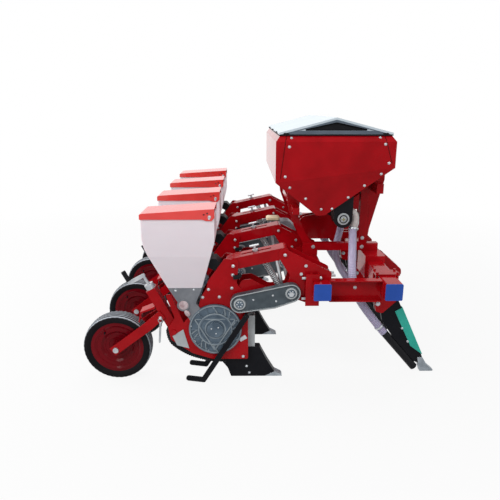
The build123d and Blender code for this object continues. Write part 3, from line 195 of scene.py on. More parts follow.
def sheet(grid: np.ndarray, wrap_rows: bool = False, wrap_columns: bool = True) -> Form:
    """Skin a grid of points: each cell of the grid is one face.

    Args:
        grid: Points with rows and columns on the first two axes.
        wrap_rows: Whether the last row joins the first.
        wrap_columns: Whether the last column joins the first.

    Returns:
        The skinned form.
    """
    rows, columns = grid.shape[:2]
    row, column = np.meshgrid(
        np.arange(rows if wrap_rows else rows - 1),
        np.arange(columns if wrap_columns else columns - 1),
        indexing="ij",
    )
    after = (row + 1) % rows * columns
    row = row * columns
    beside = (column + 1) % columns
    faces = np.stack([row + column, row + beside, after + beside, after + column], axis=-1)
    return Form(grid.reshape(-1, 3), faces.reshape(-1, 4))


def revolved(profile: Sequence[Pair], segments: int, sides: int = 0, first_flat: int = 0) -> Form:
    """Turn a profile about Z: x = r cos t, y = r sin t, z = h.

    With sides given, r from one row on is cut to a regular polygon: r cos(half) / cos(t mod step - half).

    Args:
        profile: Pairs of radius and height, in millimetres, from one pole to the other.
        segments: Steps round the axis.
        sides: Flats of a polygon, or 0 for a round form.
        first_flat: First row of the profile that has flats.

    Returns:
        A closed form when both ends of the profile are on the axis.
    """
    radius, height = np.asarray(profile, float).T[:, :, None] * MM
    turn = full_turn(segments)
    reach = radius * np.ones(segments)
    if sides:
        step = math.tau / sides
        reach[first_flat:] *= math.cos(step / 2) / np.cos(turn % step - step / 2)
    return sheet(np.stack(np.broadcast_arrays(reach * np.cos(turn), reach * np.sin(turn), height), axis=-1))


def swept(
    path: np.ndarray, section: np.ndarray, lean: Triple, scale: Any = 1.0, loop: bool = False
) -> Form:
    """Carry a section along a path: point = path + a side + b up, with side = lean x tangent.

    Args:
        path: Points of the path, in metres.
        section: Closed outline as pairs (a, b), in metres.
        lean: Direction that keeps the section from twisting, nowhere along the path.
        scale: Size of the section, one number or one a path point.
        loop: Whether the path closes on itself.

    Returns:
        A tube with closed ends, or a ring.
    """
    if loop:
        tangent = np.roll(path, -1, axis=0) - np.roll(path, 1, axis=0)
    else:
        tangent = np.gradient(path, axis=0)
    tangent = unit(tangent)
    side = unit(np.cross(lean, tangent))
    up = np.cross(tangent, side)
    size = np.broadcast_to(scale, len(path))
    if not loop:
        path, side, up = (np.concatenate([rows[:1], rows, rows[-1:]]) for rows in (path, side, up))
        size = np.concatenate([[0.0], size, [0.0]])
    spread = section @ np.stack([side, up], axis=1)
    return sheet(path[:, None, :] + spread * size[:, None, None], wrap_rows=loop)


def ring_section(radius: float, steps: int = 10) -> np.ndarray:
    """Round section of a radius in millimetres: a = r cos t, b = r sin t."""
    return on_circle((0.0, 0.0), radius, full_turn(steps)).T * MM


def block_section(width: float, height: float, corner: float, steps: int = 3) -> np.ndarray:
    """Rectangle with rounded corners: each corner is a quarter of a circle about its own centre.

    Args:
        width: Size across, in millimetres.
        height: Size up, in millimetres.
        corner: Corner radius, in millimetres.
        steps: Points a corner.

    Returns:
        The outline as pairs, in metres.
    """
    turn = np.linspace(0.0, math.pi / 2, steps) + np.arange(4)[:, None] * math.pi / 2
    middle_a = (width / 2 - corner) * np.array([1, -1, -1, 1])[:, None]
    middle_b = (height / 2 - corner) * np.array([1, 1, -1, -1])[:, None]
    return on_circle((middle_a, middle_b), corner, turn).reshape(2, -1).T * MM


def bar(start: np.ndarray, end: np.ndarray, section: np.ndarray, lean: Triple) -> Form:
    """Straight bar whose two ends draw in a little, as a dressed edge does.

    Args:
        start: First end, in metres.
        end: Second end, in metres.
        section: Outline as pairs.
        lean: Direction that sets the section's turn.

    Returns:
        The closed bar.
    """
    ease, end_size = 1.5, 0.86
    share = ease * MM / np.linalg.norm(end - start)
    shares = np.array([0.0, share, 1.0 - share, 1.0])[:, None]
    return swept(start + (end - start) * shares, section, lean, [end_size, 1.0, 1.0, end_size])


def slab(outline: np.ndarray, axis: Triple, thickness: float, draw_in: float = 0.94) -> Form:
    """Plate with a drawn-in outer edge: copies of one outline, scaled about its middle, along an axis.

    Args:
        outline: Points of the outer edge, in metres, round a middle that sees them all.
        axis: Direction that the plate faces.
        thickness: Thickness, in millimetres.
        draw_in: Size of the outer face against the plate.

    Returns:
        The closed plate, which stands on the outline.
    """
    middle = outline.mean(axis=0)
    sizes = np.array([0.0, 1.0, 1.0, draw_in, 0.0])[:, None, None]
    lifts = np.array([0.0, 0.0, 0.75, 1.0, 1.0])[:, None, None] * thickness * MM
    return sheet(middle + (outline - middle)[None] * sizes + np.array(axis) * lifts)


def turned_to(normals: np.ndarray) -> np.ndarray:
    """Rotations that stand the Z axis on each direction: columns are side, up and the direction.

    Args:
        normals: Directions of length one.

    Returns:
        One 3 by 3 rotation a direction.
    """
    level = np.abs(normals[:, 2:]) < 0.9
    side = unit(np.cross(np.where(level, np.array([UP]), np.array([ALONG])), normals))
    return np.stack([side, np.cross(normals, side), normals], axis=-1)


def nurbs_line(points: np.ndarray) -> np.ndarray:
    """Read the points of a smooth spline that has the given points as its controls.

    Args:
        points: Control points, in metres.

    Returns:
        Points along the spline.
    """
    curve = bpy.data.curves.new("route", "CURVE")
    curve.dimensions = "3D"
    curve.resolution_u = 24
    spline = curve.splines.new("NURBS")
    spline.points.add(len(points) - 1)
    spline.points.foreach_set("co", np.column_stack([points, np.ones(len(points))]).ravel())
    spline.order_u = 3
    spline.use_endpoint_u = True
    carrier = bpy.data.objects.new("route", curve)
    mesh = bpy.data.meshes.new_from_object(carrier)
    line = np.empty(len(mesh.vertices) * 3)
    mesh.vertices.foreach_get("co", line)
    bpy.data.meshes.remove(mesh)
    bpy.data.objects.remove(carrier)
    bpy.data.curves.remove(curve)
    return line.reshape(-1, 3)


def even_steps(line: np.ndarray, step: float) -> np.ndarray:
    """Walk along a line in even steps.

    Args:
        line: Points of the line, in metres.
        step: Wanted step, in millimetres.

    Returns:
        Points a step apart from end to end.
    """
    walked = np.concatenate([[0.0], np.cumsum(np.linalg.norm(np.diff(line, axis=0), axis=1))])
    marks = np.linspace(0.0, walked[-1], max(int(round(walked[-1] / (step * MM))), 2) + 1)
    return np.stack([np.interp(marks, walked, line[:, axis]) for axis in range(3)], axis=-1)


def math_step(operation: str, reflected: bool = False) -> Callable[["Signal", Any], "Signal"]:
    """Write a method of a signal that adds one Math node.

    Args:
        operation: Blender's name of the sum.
        reflected: Whether the signal stands on the right.

    Returns:
        The method.
    """

    def step(signal: "Signal", other: Any) -> "Signal":
        """Math node on the signal and another value."""
        left, right = (other, signal) if reflected else (signal, other)
        return signal.graph.node("ShaderNodeMath", {"operation": operation}, {0: left, 1: right})

    return step


class Signal:
    """Socket of a node tree that takes part in Python sums."""

    def __init__(self, graph: "Graph", socket: bpy.types.NodeSocket) -> None:
        """Keep the tree and the socket."""
        self.graph = graph
        self.socket = socket

    __add__ = math_step("ADD")
    __radd__ = math_step("ADD", reflected=True)
    __sub__ = math_step("SUBTRACT")
    __rsub__ = math_step("SUBTRACT", reflected=True)
    __mul__ = math_step("MULTIPLY")
    __rmul__ = math_step("MULTIPLY", reflected=True)
    larger = math_step("MAXIMUM")

    def bounded(self) -> "Signal":
        """The value held between nought and one."""
        return self.graph.node("ShaderNodeClamp", {}, {0: self})


class Graph:
    """Node tree of a material or of the world."""

    def __init__(self, tree: bpy.types.NodeTree) -> None:
        """Empty the tree."""
        self.tree = tree
        tree.nodes.clear()

    def node(
        self,
        kind: str,
        settings: dict[str, Any] | None = None,
        sockets: dict[Any, Any] | None = None,
        output: int | str = 0,
    ) -> Signal:
        """Add a node.

        Args:
            kind: Blender's name of the node type.
            settings: Properties, set before the sockets; stops are places on a ramp from black to white.
            sockets: Values or links by the socket's name or number.
            output: Name or number of the output to go on with.

        Returns:
            The chosen output.
        """
        made = self.tree.nodes.new(kind)
        for name, value in (settings or {}).items():
            if name == "stops":
                for element, place in zip(made.color_ramp.elements, value):
                    element.position = place
            else:
                setattr(made, name, value)
        for key, value in (sockets or {}).items():
            if isinstance(value, Signal):
                self.tree.links.new(value.socket, made.inputs[key])
            else:
                made.inputs[key].default_value = value
        return Signal(self, made.outputs[output] if made.outputs else None)

    def blend(self, share: Any, first: Any, second: Any) -> Signal:
        """Mix two colours by a share.

        Args:
            share: Share of the second colour.
            first: Colour or signal.
            second: Colour or signal.

        Returns:
            The mixed colour.
        """
        ends = [end if isinstance(end, Signal) else (*end, 1.0) for end in (first, second)]
        return self.node("ShaderNodeMix", {"data_type": "RGBA"}, {0: share, 6: ends[0], 7: ends[1]}, 2)

    def noise(self, place: Signal, scale: float, detail: float) -> Signal:
        """Soft noise about one half."""
        return self.node("ShaderNodeTexNoise", {}, {"Vector": place, "Scale": scale, "Detail": detail})

    def stretched(self, place: Signal, scale: Triple) -> Signal:
        """Coordinates drawn out along the axes."""
        return self.node("ShaderNodeMapping", {}, {"Vector": place, "Scale": scale})

    def height(self, place: Signal) -> Signal:
        """Height over the ground, in metres."""
        return self.node("ShaderNodeSeparateXYZ", {}, {0: place}, 2)

    def wear(self) -> Signal:
        """The mesh's own rib attribute: painted shade in the hose's grooves, dust and a painted reflection
        on the tyre's tread.
        """
        return self.node("ShaderNodeAttribute", {"attribute_name": "wear"}, {}, "Fac")


class Grain(Enum):
    """Fine relief of a finish: layers of noise, each with its scale, detail and share of the height."""

    PEEL = ((240.0, 1.0, 1.0),)
    CAST = ((330.0, 5.0, 1.0), (70.0, 2.0, 0.6))
    BRUSHED = ((1.0, 3.0, 1.0),)
    MOULDED = ((620.0, 2.0, 1.0),)
    RUBBER = ((480.0, 4.0, 1.0), (36.0, 2.0, 0.5))

    def height(self, graph: Graph, place: Signal) -> Signal:
        """Add up the layers of noise; brushed lines are drawn out along X first.

        Args:
            graph: Node tree of the material.
            place: Coordinates.

        Returns:
            Height of the relief.
        """
        if self is Grain.BRUSHED:
            place = graph.stretched(place, BRUSH_LINES)
        first, *more = [(graph.noise(place, scale, detail), share) for scale, detail, share in self.value]
        total = first[0]
        for layer, share in more:
            total = total + layer * share
        return total


@dataclass(frozen=True)
class Finish:
    """Surface of one material: two shades, gloss, fine relief, worn edges and dust."""

    name: str
    slot: str
    color: Color
    shade: Color
    roughness: float
    spread: float
    metallic: float = 0.0
    coat: float = 0.0
    coat_ior: float = 1.5
    specular: float = 0.5
    cloud: float = 7.0
    grain: Grain = Grain.MOULDED
    depth: float = 0.15
    edge: Color | None = None
    rounding: float = 0.0025
    dust: float = 0.0

    def material(self) -> bpy.types.Material:
        """Make the material once.

        Returns:
            The material, new or made before.
        """
        name = f"{self.name}_finish"
        made = bpy.data.materials.get(name)
        if made is not None:
            return made
        made = bpy.data.materials.new(name)
        made.use_nodes = True
        graph = Graph(made.node_tree)
        place = graph.node("ShaderNodeTexCoord", output="Object")
        cloud = graph.noise(place, self.cloud, 4.0)
        rounded = graph.node("ShaderNodeBevel", {"samples": BEVEL_SAMPLES}, {"Radius": self.rounding})
        color = self.tint(graph, place, cloud)
        roughness = cloud * self.spread + (self.roughness - self.spread / 2)
        if self.edge is not None:
            worn = self.edges(graph, place, rounded)
            color = graph.blend(worn, color, self.edge)
            roughness = roughness + worn * WORN_ROUGHER
        if self.dust:
            film = self.film(graph, place)
            color = graph.blend(film, color, DUST_TONE)
            roughness = roughness + film * DUSTY_ROUGHER
        height = self.grain.height(graph, place)
        bump = {"Strength": self.depth, "Distance": BUMP_HEIGHT, "Height": height, "Normal": rounded}
        sockets = {
            "Base Color": color,
            "Roughness": roughness.bounded(),
            "Metallic": self.metallic,
            "Coat Weight": self.coat,
            "Coat IOR": self.coat_ior,
            "Coat Roughness": COAT_ROUGHNESS,
            "Specular IOR Level": self.specular,
            "Normal": graph.node("ShaderNodeBump", {}, bump),
            **self.extras(),
        }
        shader = graph.node("ShaderNodeBsdfPrincipled", {}, sockets)
        graph.node("ShaderNodeOutputMaterial", {}, {"Surface": shader})
        made.diffuse_color = (*self.color, 1.0)
        return made

    def extras(self) -> dict[str, Any]:
        """Further sockets of the shader that are the same all over."""
        return {}

    def tint(self, graph: Graph, place: Signal, cloud: Signal) -> Signal:
        """Base colour: the two shades, clouded."""
        share = graph.node("ShaderNodeValToRGB", {"stops": CLOUD_STOPS}, {0: cloud})
        return graph.blend(share, self.color, self.shade)

    def edges(self, graph: Graph, place: Signal, rounded: Signal) -> Signal:
        """How worn the edges are: where the rounded and the true normal part, broken up by noise.

        Args:
            graph: Node tree of the material.
            place: Coordinates.
            rounded: Normal with rounded edges.

        Returns:
            The share, from nought to one.
        """
        true = graph.node("ShaderNodeNewGeometry", output="Normal")
        facing = graph.node("ShaderNodeVectorMath", {"operation": "DOT_PRODUCT"}, {0: rounded, 1: true}, 1)
        parted = 1.0 - facing
        patches = graph.noise(place, EDGE_PATCHES, 5.0) - PATCH_LEVEL
        return (parted * EDGE_GAIN + patches * PATCH_GAIN).bounded() * (parted * EDGE_LIMIT).bounded()

    def film(self, graph: Graph, place: Signal) -> Signal:
        """Share of dust: more towards the ground, in patches."""
        low = (1.0 - graph.height(place) * DUST_FALL).bounded()
        return (low * (graph.noise(place, DUST_PATCHES, 6.0) - DUST_LEVEL)).bounded() * self.dust


@dataclass(frozen=True)
class MilkyFinish(Finish):
    """Milky moulding, lighter towards its rim and darker towards its foot: painted shade."""

    # The foot colour is painted shade, darker towards the bottom; the two heights after it are where it
    # gives way to the plain colour.
    foot: Color = (0.66, 0.60, 0.64)
    rise: Pair = (0.62, 1.02)

    def tint(self, graph: Graph, place: Signal, cloud: Signal) -> Signal:
        """Base colour: from the foot's painted shade to the plain one over the rise, with faint flow lines.

        Args:
            graph: Node tree of the material.
            place: Coordinates.
            cloud: Soft noise.

        Returns:
            The colour.
        """
        low, high = self.rise
        share = (graph.height(place) - low) * (1.0 / (high - low))
        flow = graph.noise(graph.stretched(place, FLOW_LINES), 1.0, 4.0)
        body = graph.blend((share + (flow - 0.5) * FLOW_SHARE).bounded(), self.foot, self.color)
        return graph.blend(cloud * CLOUD_SHARE, body, self.shade)

    def extras(self) -> dict[str, Any]:
        """Light that goes into the wall."""
        return {"Subsurface Weight": 0.35, "Subsurface Radius": (0.03, 0.02, 0.02), "Subsurface Scale": 0.6}


@dataclass(frozen=True)
class DustAndSheenRubber(Finish):
    """Rubber with a paler tread, partly dust and partly a painted reflection, set by the mesh's own rib
    attribute.
    """

    # Tread colour: dust and a painted sky reflection on the rib tops.
    tread: Color = (0.37, 0.40, 0.44)
    least: float = 0.45

    def tint(self, graph: Graph, place: Signal, cloud: Signal) -> Signal:
        """Base colour: black, and paler where the tread stands out, with dust and a painted reflection."""
        body = graph.blend(cloud, self.color, self.shade)
        return graph.blend((graph.wear() * (self.least + cloud)).bounded(), body, self.tread)


@dataclass(frozen=True)
class RibbedFinish(MilkyFinish):
    """Milky hose with painted shade in its grooves, set by the mesh's own rib attribute."""

    # Painted shade of the grooves.
    groove: Color = (0.25, 0.22, 0.36)

    def tint(self, graph: Graph, place: Signal, cloud: Signal) -> Signal:
        """Base colour: milky on the ribs, and painted shade in the grooves between them."""
        return graph.blend(graph.wear(), self.groove, super().tint(graph, place, cloud))


RED = Finish(
    "red_gloss", "red_paint", (0.37, 0.003, 0.007), (0.29, 0.002, 0.005), 0.20, 0.10, coat=0.75,
    coat_ior=1.18, specular=0.02, grain=Grain.PEEL, depth=0.04, edge=(0.47, 0.02, 0.02), dust=0.06,
)
# Darker copy of the red paint for the wheel rims: painted shade in the rims' dishes.
SHADED_RIM_RED = Finish(
    "shaded_rim_red", "red_paint", (0.15, 0.0015, 0.006), (0.105, 0.001, 0.004), 0.22, 0.10, coat=0.6,
    coat_ior=1.18, specular=0.03, grain=Grain.PEEL, depth=0.05, edge=(0.36, 0.01, 0.016), dust=0.02,
)
LID_RED = Finish(
    "lid_red", "red_lid", (0.74, 0.026, 0.02), (0.64, 0.02, 0.014), 0.24, 0.10, coat=0.75, specular=0.4,
    depth=0.05, edge=(0.84, 0.12, 0.09),
)
CAP_BLUE = Finish(
    "cap_blue", "blue_cap", (0.026, 0.085, 0.40), (0.02, 0.07, 0.33), 0.42, 0.14, specular=0.12, depth=0.12,
    edge=(0.10, 0.19, 0.54),
)
ZINC = Finish(
    "zinc_plate", "zinc", (0.54, 0.56, 0.58), (0.38, 0.40, 0.43), 0.34, 0.16, metallic=0.85, cloud=22.0,
    grain=Grain.BRUSHED, depth=0.10, rounding=0.001,
)
BLACK_STEEL = Finish(
    "black_satin", "black_steel", (0.005, 0.0055, 0.008), (0.009, 0.0095, 0.012), 0.36, 0.16, specular=0.06,
    grain=Grain.PEEL, depth=0.08, edge=(0.06, 0.06, 0.066), dust=0.02,
)
BLACK_PLASTIC = Finish(
    "black_moulding", "black_plastic", (0.006, 0.006, 0.008), (0.011, 0.011, 0.013), 0.44, 0.14,
    specular=0.1, depth=0.20, edge=(0.045, 0.045, 0.05),
)
# Hopper moulding: darker towards its foot, painted shade.
MILKY = MilkyFinish(
    "milky_moulding", "hopper_white", (0.82, 0.72, 0.765), (0.76, 0.635, 0.70), 0.36, 0.12, specular=0.3,
    depth=0.06, rounding=0.004,
)
CASTING = Finish(
    "grey_casting", "grey_casting", (0.060, 0.088, 0.120), (0.110, 0.150, 0.192), 0.44, 0.18, metallic=0.25,
    specular=0.25, cloud=16.0, grain=Grain.CAST, depth=0.30, edge=(0.34, 0.40, 0.45), rounding=0.002,
)
GREY_PLASTIC = Finish(
    "grey_moulding", "grey_plastic", (0.125, 0.135, 0.155), (0.19, 0.20, 0.22), 0.44, 0.14, specular=0.25,
    cloud=11.0, edge=(0.40, 0.43, 0.46),
)
DARK_CASE = Finish(
    "dark_case", "dark_case", (0.030, 0.044, 0.056), (0.060, 0.080, 0.096), 0.30, 0.14, specular=0.4,
    cloud=12.0, edge=(0.36, 0.42, 0.45), rounding=0.004,
)
GREEN = Finish(
    "green_satin", "green_steel", (0.02, 0.345, 0.27), (0.04, 0.42, 0.335), 0.38, 0.14, specular=0.2,
    grain=Grain.PEEL, depth=0.10, edge=(0.16, 0.50, 0.40), dust=0.05,
)
# Hose: painted shade in the grooves and towards its foot.
HOSE = RibbedFinish(
    "hose_moulding", "hose", (0.52, 0.485, 0.61), (0.43, 0.39, 0.54), 0.30, 0.12, depth=0.05,
    foot=(0.43, 0.40, 0.54), rise=(0.2, 1.0),
)
SHEET = Finish(
    "pale_sheet", "lid_sheet", (0.50, 0.575, 0.63), (0.54, 0.61, 0.665), 0.30, 0.08, coat=0.1,
    specular=0.35, cloud=4.0, grain=Grain.PEEL, depth=0.02, edge=(0.74, 0.79, 0.83),
)
# Darker copy of the lid's sheet for the gable frames: painted shade on the end faces.
SHADED_SHEET = Finish(
    "shaded_sheet_paint", "lid_sheet", (0.075, 0.098, 0.128), (0.10, 0.128, 0.162), 0.36, 0.12, specular=0.2,
    cloud=9.0, grain=Grain.PEEL, depth=0.06, edge=(0.30, 0.35, 0.40),
)
RUBBER = DustAndSheenRubber(
    "black_rubber", "tyre", (0.0035, 0.003, 0.004), (0.007, 0.0063, 0.0075), 0.58, 0.16, specular=0.05,
    grain=Grain.RUBBER, depth=0.25,
)
# Elbow: darker towards its foot, painted shade.
ELBOW = MilkyFinish(
    "elbow_moulding", "hose", (0.56, 0.52, 0.50), (0.46, 0.42, 0.41), 0.30, 0.12, depth=0.05,
    foot=(0.44, 0.41, 0.40), rise=(0.86, 0.98),
)
SPRING_STEEL = Finish(
    "spring_steel", "grey_casting", (0.60, 0.62, 0.64), (0.44, 0.46, 0.48), 0.36, 0.16, metallic=0.6,
    cloud=30.0, grain=Grain.BRUSHED, depth=0.08, rounding=0.001,
)
# Lighter copy of the casting for the cover's beads: painted highlight on the raised beads.
CASTING_HIGHLIGHT = Finish(
    "casting_highlight", "grey_casting", (0.17, 0.205, 0.235), (0.24, 0.28, 0.31), 0.42, 0.18, metallic=0.25,
    specular=0.25, cloud=20.0, grain=Grain.CAST, depth=0.25, edge=(0.44, 0.49, 0.53), rounding=0.0012,
)
WORN_STEEL = Finish(
    "worn_steel", "zinc", (0.36, 0.40, 0.44), (0.22, 0.25, 0.28), 0.38, 0.2, metallic=0.7, cloud=18.0,
    grain=Grain.BRUSHED, depth=0.2, edge=(0.62, 0.65, 0.67), dust=0.12,
)
SEAM_RED = Finish(
    "seam_red", "red_paint", (0.12, 0.001, 0.002), (0.09, 0.001, 0.002), 0.34, 0.1, specular=0.09,
    grain=Grain.PEEL,
)
OLIVE = Finish(
    "olive_moulding", "grey_plastic", (0.20, 0.19, 0.10), (0.26, 0.25, 0.14), 0.50, 0.12, depth=0.2,
)
PALE_DISC = Finish(
    "pale_moulding", "grey_plastic", (0.35, 0.375, 0.39), (0.43, 0.455, 0.47), 0.42, 0.12, specular=0.3,
    depth=0.12, edge=(0.56, 0.57, 0.58),
)
CREAM = Finish(
    "cream_moulding", "grey_plastic", (0.72, 0.62, 0.42), (0.62, 0.52, 0.34), 0.46, 0.14,
    edge=(0.82, 0.76, 0.62),
)
WINDOW = Finish(
    "clear_window", "grey_plastic", (0.30, 0.185, 0.20), (0.50, 0.40, 0.42), 0.10, 0.06, coat=1.0,
    cloud=40.0, depth=0.02,
)

SLOT_FINISH = {
    finish.slot: finish
    for finish in (
        RED, LID_RED, CAP_BLUE, ZINC, BLACK_STEEL, BLACK_PLASTIC, MILKY, CASTING, GREY_PLASTIC, DARK_CASE,
        GREEN, HOSE, SHEET, RUBBER,
    )
}
NODE_FINISH = {
    "link_pins": RED, "side_shields": PALE_DISC, "seed_tubes": PALE_DISC, "shank_points": WORN_STEEL,
    "shoe_points": WORN_STEEL, "drive_gearbox": WORN_STEEL,
    **{f"rim_{number}": SHADED_RIM_RED for number in range(1, len(ROWS) + 1)},
}


class Skin:
    """Surface of a CAD node, on which small parts are seated."""

    def __init__(self, node: str) -> None:
        """Read the node's triangles into a search tree.

        Args:
            node: Name of the CAD node.
        """
        mesh = bpy.data.objects[node].data
        self.node = node
        points = np.empty(len(mesh.vertices) * 3)
        mesh.vertices.foreach_get("co", points)
        mesh.calc_loop_triangles()
        corners = np.empty(len(mesh.loop_triangles) * 3, np.int32)
        mesh.loop_triangles.foreach_get("vertices", corners)
        self.tree = BVHTree.FromPolygons(points.reshape(-1, 3).tolist(), corners.reshape(-1, 3).tolist())

    def seats(self, starts: np.ndarray, direction: Triple) -> tuple[np.ndarray, np.ndarray]:
        """Find where straight lines first meet the surface.

        Args:
            starts: Points outside the surface, in metres.
            direction: Direction of all the lines.

        Returns:
            The points met, and the outward direction at each.

        Raises:
            ValueError: A line misses the node.
        """
        hits = [self.tree.ray_cast(Vector(start), Vector(direction)) for start in starts]
        missed = [start.round(3).tolist() for start, hit in zip(starts, hits) if hit[0] is None]
        if missed:
            raise ValueError(f"nothing of {self.node} ahead of {missed}")
        points = np.array([hit[0] for hit in hits])
        normals = np.array([hit[1] for hit in hits])
        outward = np.where((normals @ np.asarray(direction))[:, None] > 0, -normals, normals)
        return points, outward

    def beside(
        self, x: Any, station: Any, z: Any, side: float, reach: float = ROW_REACH
    ) -> tuple[np.ndarray, np.ndarray]:
        """Find seats along Y, from one side towards a station.

        Args:
            x: X of the lines, a number or an array.
            station: Y of the station.
            z: Z of the lines.
            side: Side that the lines come from.
            reach: Distance from the station at which they start.

        Returns:
            The points met, and the outward direction at each.
        """
        starts = np.atleast_2d(spot(x, np.add(station, side * reach), z))
        return self.seats(starts, (0.0, -side, 0.0))


def fit(
    name: str,
    form: Form,
    finish: Finish,
    body: str = "frame",
    stands_for: Sequence[str] = (),
    wear: np.ndarray | None = None,
    crease: float = 38.0,
) -> None:
    """Make a form a piece of the planter.

    Args:
        name: Name of the piece.
        form: Its shape, in place.
        finish: Its finish.
        body: CAD body that it moves with.
        stands_for: CAD nodes that it replaces.
        wear: Share of each point that takes painted light, from nought in a groove to one on a rib: painted
            shade in the hose's grooves, dust and a painted reflection on the tyre's tread.
        crease: Angle in degrees past which an edge is sharp.
    """
    mesh = bpy.data.meshes.new(name)
    mesh.from_pydata(form.points.tolist(), [], form.faces.tolist())
    if wear is not None:
        values = mesh.attributes.new("wear", "FLOAT", "POINT").data
        values.foreach_set("value", wear.astype(np.float32).ravel())
    shell = bmesh.new()
    shell.from_mesh(mesh)
    bmesh.ops.remove_doubles(shell, verts=shell.verts, dist=MERGE_DISTANCE)
    bmesh.ops.recalc_face_normals(shell, faces=shell.faces)
    shell.to_mesh(mesh)
    shell.free()
    mesh.shade_smooth()
    mesh.set_sharp_from_angle(angle=math.radians(crease))
    mesh.materials.append(finish.material())
    piece = bpy.data.objects.new(name, mesh)
    bpy.context.scene.collection.objects.link(piece)
    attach(piece, body)
    if stands_for:
        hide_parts(*stands_for)
    LOG.info("%s: %d faces on %s", name, len(mesh.polygons), body)


class Head(Enum):
    """Fastener's head: its profile as pairs of radius and height, in shares of the head's radius."""

    DOME = ((0, -0.1), (1.35, -0.1), (1.3, 0.2), (1.0, 0.22), (0.74, 0.66), (0.36, 0.86), (0, 0.9))
    HEX = ((0, -0.1), (1.3, -0.1), (1.3, 0.2), (1.0, 0.2), (1.0, 0.8), (0.84, 0.92), (0, 0.92))
    SCREW = ((0, -0.1), (1.0, -0.1), (1.0, 0.25), (0.8, 0.4), (0, 0.4))

    def form(self, radius: float) -> Form:
        """Turn the profile; a hexagon has its flats above the washer.

        Args:
            radius: Radius of the head without its washer, in millimetres.

        Returns:
            The head, standing on the ground plane about Z.
        """
        profile = np.array(self.value) * radius
        return revolved(profile, 12, 6, 3) if self is Head.HEX else revolved(profile, 10)


@dataclass(frozen=True)
class BoltField:
    """Heads of one kind on one CAD node: places as (X, Z) beside each of some Y stations."""

    node: str
    head: Head
    radius: float
    places: Sequence[Pair]
    stations: tuple[float, ...] = ROWS
    sides: tuple[float, ...] = SIDES
    reach: float = ROW_REACH

    def form(self) -> Form:
        """Seat every head on the node.

        Returns:
            All heads as one form.
        """
        skin = Skin(self.node)
        head = self.head.form(self.radius)
        x, z = np.array(self.places).T
        parts = []
        for side in self.sides:
            for station in self.stations:
                points, normals = skin.beside(x, station, z, side, self.reach)
                parts.append(head.copies(turned_to(normals), points))
        return joined(parts)


def bolt_circle(centre: Pair, radius: float, count: int, start: float = 0.0) -> np.ndarray:
    """Pairs of X and Z on a circle in the side view, the first at a turn given in degrees."""
    return on_circle(centre, radius, math.radians(start) + full_turn(count)).T


@dataclass
class Fasteners:
    """Plated bolts, nuts and screws all over the frame."""

    panel: tuple[Pair, ...] = (
        (-162, 1443), (-175, 1391), (-197, 1212), (-167, 1144), (-65, 1072), (38, 1001), (106, 1004),
        (201, 1078), (295, 1155), (390, 1228), (431, 1294), (402, 1406), (372, 1446),
    )
    plate: tuple[Pair, ...] = ((-515, 679), (-521, 598), (-658, 590), (-694, 541), (-595, 543), (-456, 155))
    link_pins: tuple[Pair, ...] = ((-212, 801), (-512, 736))
    neck: tuple[Pair, ...] = ((-849, 589), (-743, 594))
    opener: tuple[Pair, ...] = ((-435, 69), (-418, 24))
    case: tuple[Pair, ...] = ((-282, 566), (-262, 530), (-395, 539))
    bracket: tuple[Pair, ...] = ((-89, 733), (-115, 683))
    shank: tuple[Pair, ...] = ((578, 206), (536, 296))
    shanks_at: tuple[float, ...] = (-860, -260, 260, 860)
    stand_at: Pair = (-430, 430)
    beams_at: Pair = (-969, 969)

    def fields(self) -> list[BoltField]:
        """All fields of heads that one side view gives.

        Returns:
            The fields, hopper first.
        """
        return [
            BoltField("fert_hopper", Head.DOME, 6.8, self.panel, (0.0,), reach=HOPPER_REACH),
            BoltField("side_plates", Head.DOME, 7.2, self.plate),
            BoltField("link_pins", Head.DOME, 7.6, self.link_pins),
            BoltField("seed_necks", Head.DOME, 5.5, self.neck),
            BoltField("opener_shoes", Head.DOME, 6.2, self.opener),
            BoltField("chain_cases", Head.SCREW, 6.0, self.case, sides=RIGHT_SIDE),
            *(
                BoltField("chain_cases", Head.SCREW, 4.5, bolt_circle(hub, 15, 6), sides=RIGHT_SIDE)
                for hub in CASE_HUBS
            ),
            BoltField("meter_covers", Head.SCREW, 5.5, bolt_circle(METER_AT, 148, 9, 12), sides=RIGHT_SIDE),
            BoltField("meter_covers", Head.SCREW, 4.5, bolt_circle(METER_AT, 24, 3, 40), sides=RIGHT_SIDE),
            BoltField("unit_brackets", Head.HEX, 7.5, self.bracket),
            BoltField("shank_brackets", Head.HEX, 11.0, ((370, 462),), self.shanks_at),
            BoltField("shanks", Head.DOME, 7.0, self.shank, self.shanks_at),
            BoltField("stand_legs", Head.HEX, 10.0, ((351, 770),), self.stand_at),
            BoltField("stand_bases", Head.HEX, 10.0, ((351, 708), (20, 708)), self.stand_at),
            BoltField("cross_beams", Head.DOME, 8.0, ((207, 594),), self.beams_at),
        ]

    def build(self) -> None:
        """Join all heads into one plated piece."""
        fit("frame_bolts", joined([field.form() for field in self.fields()]), ZINC)


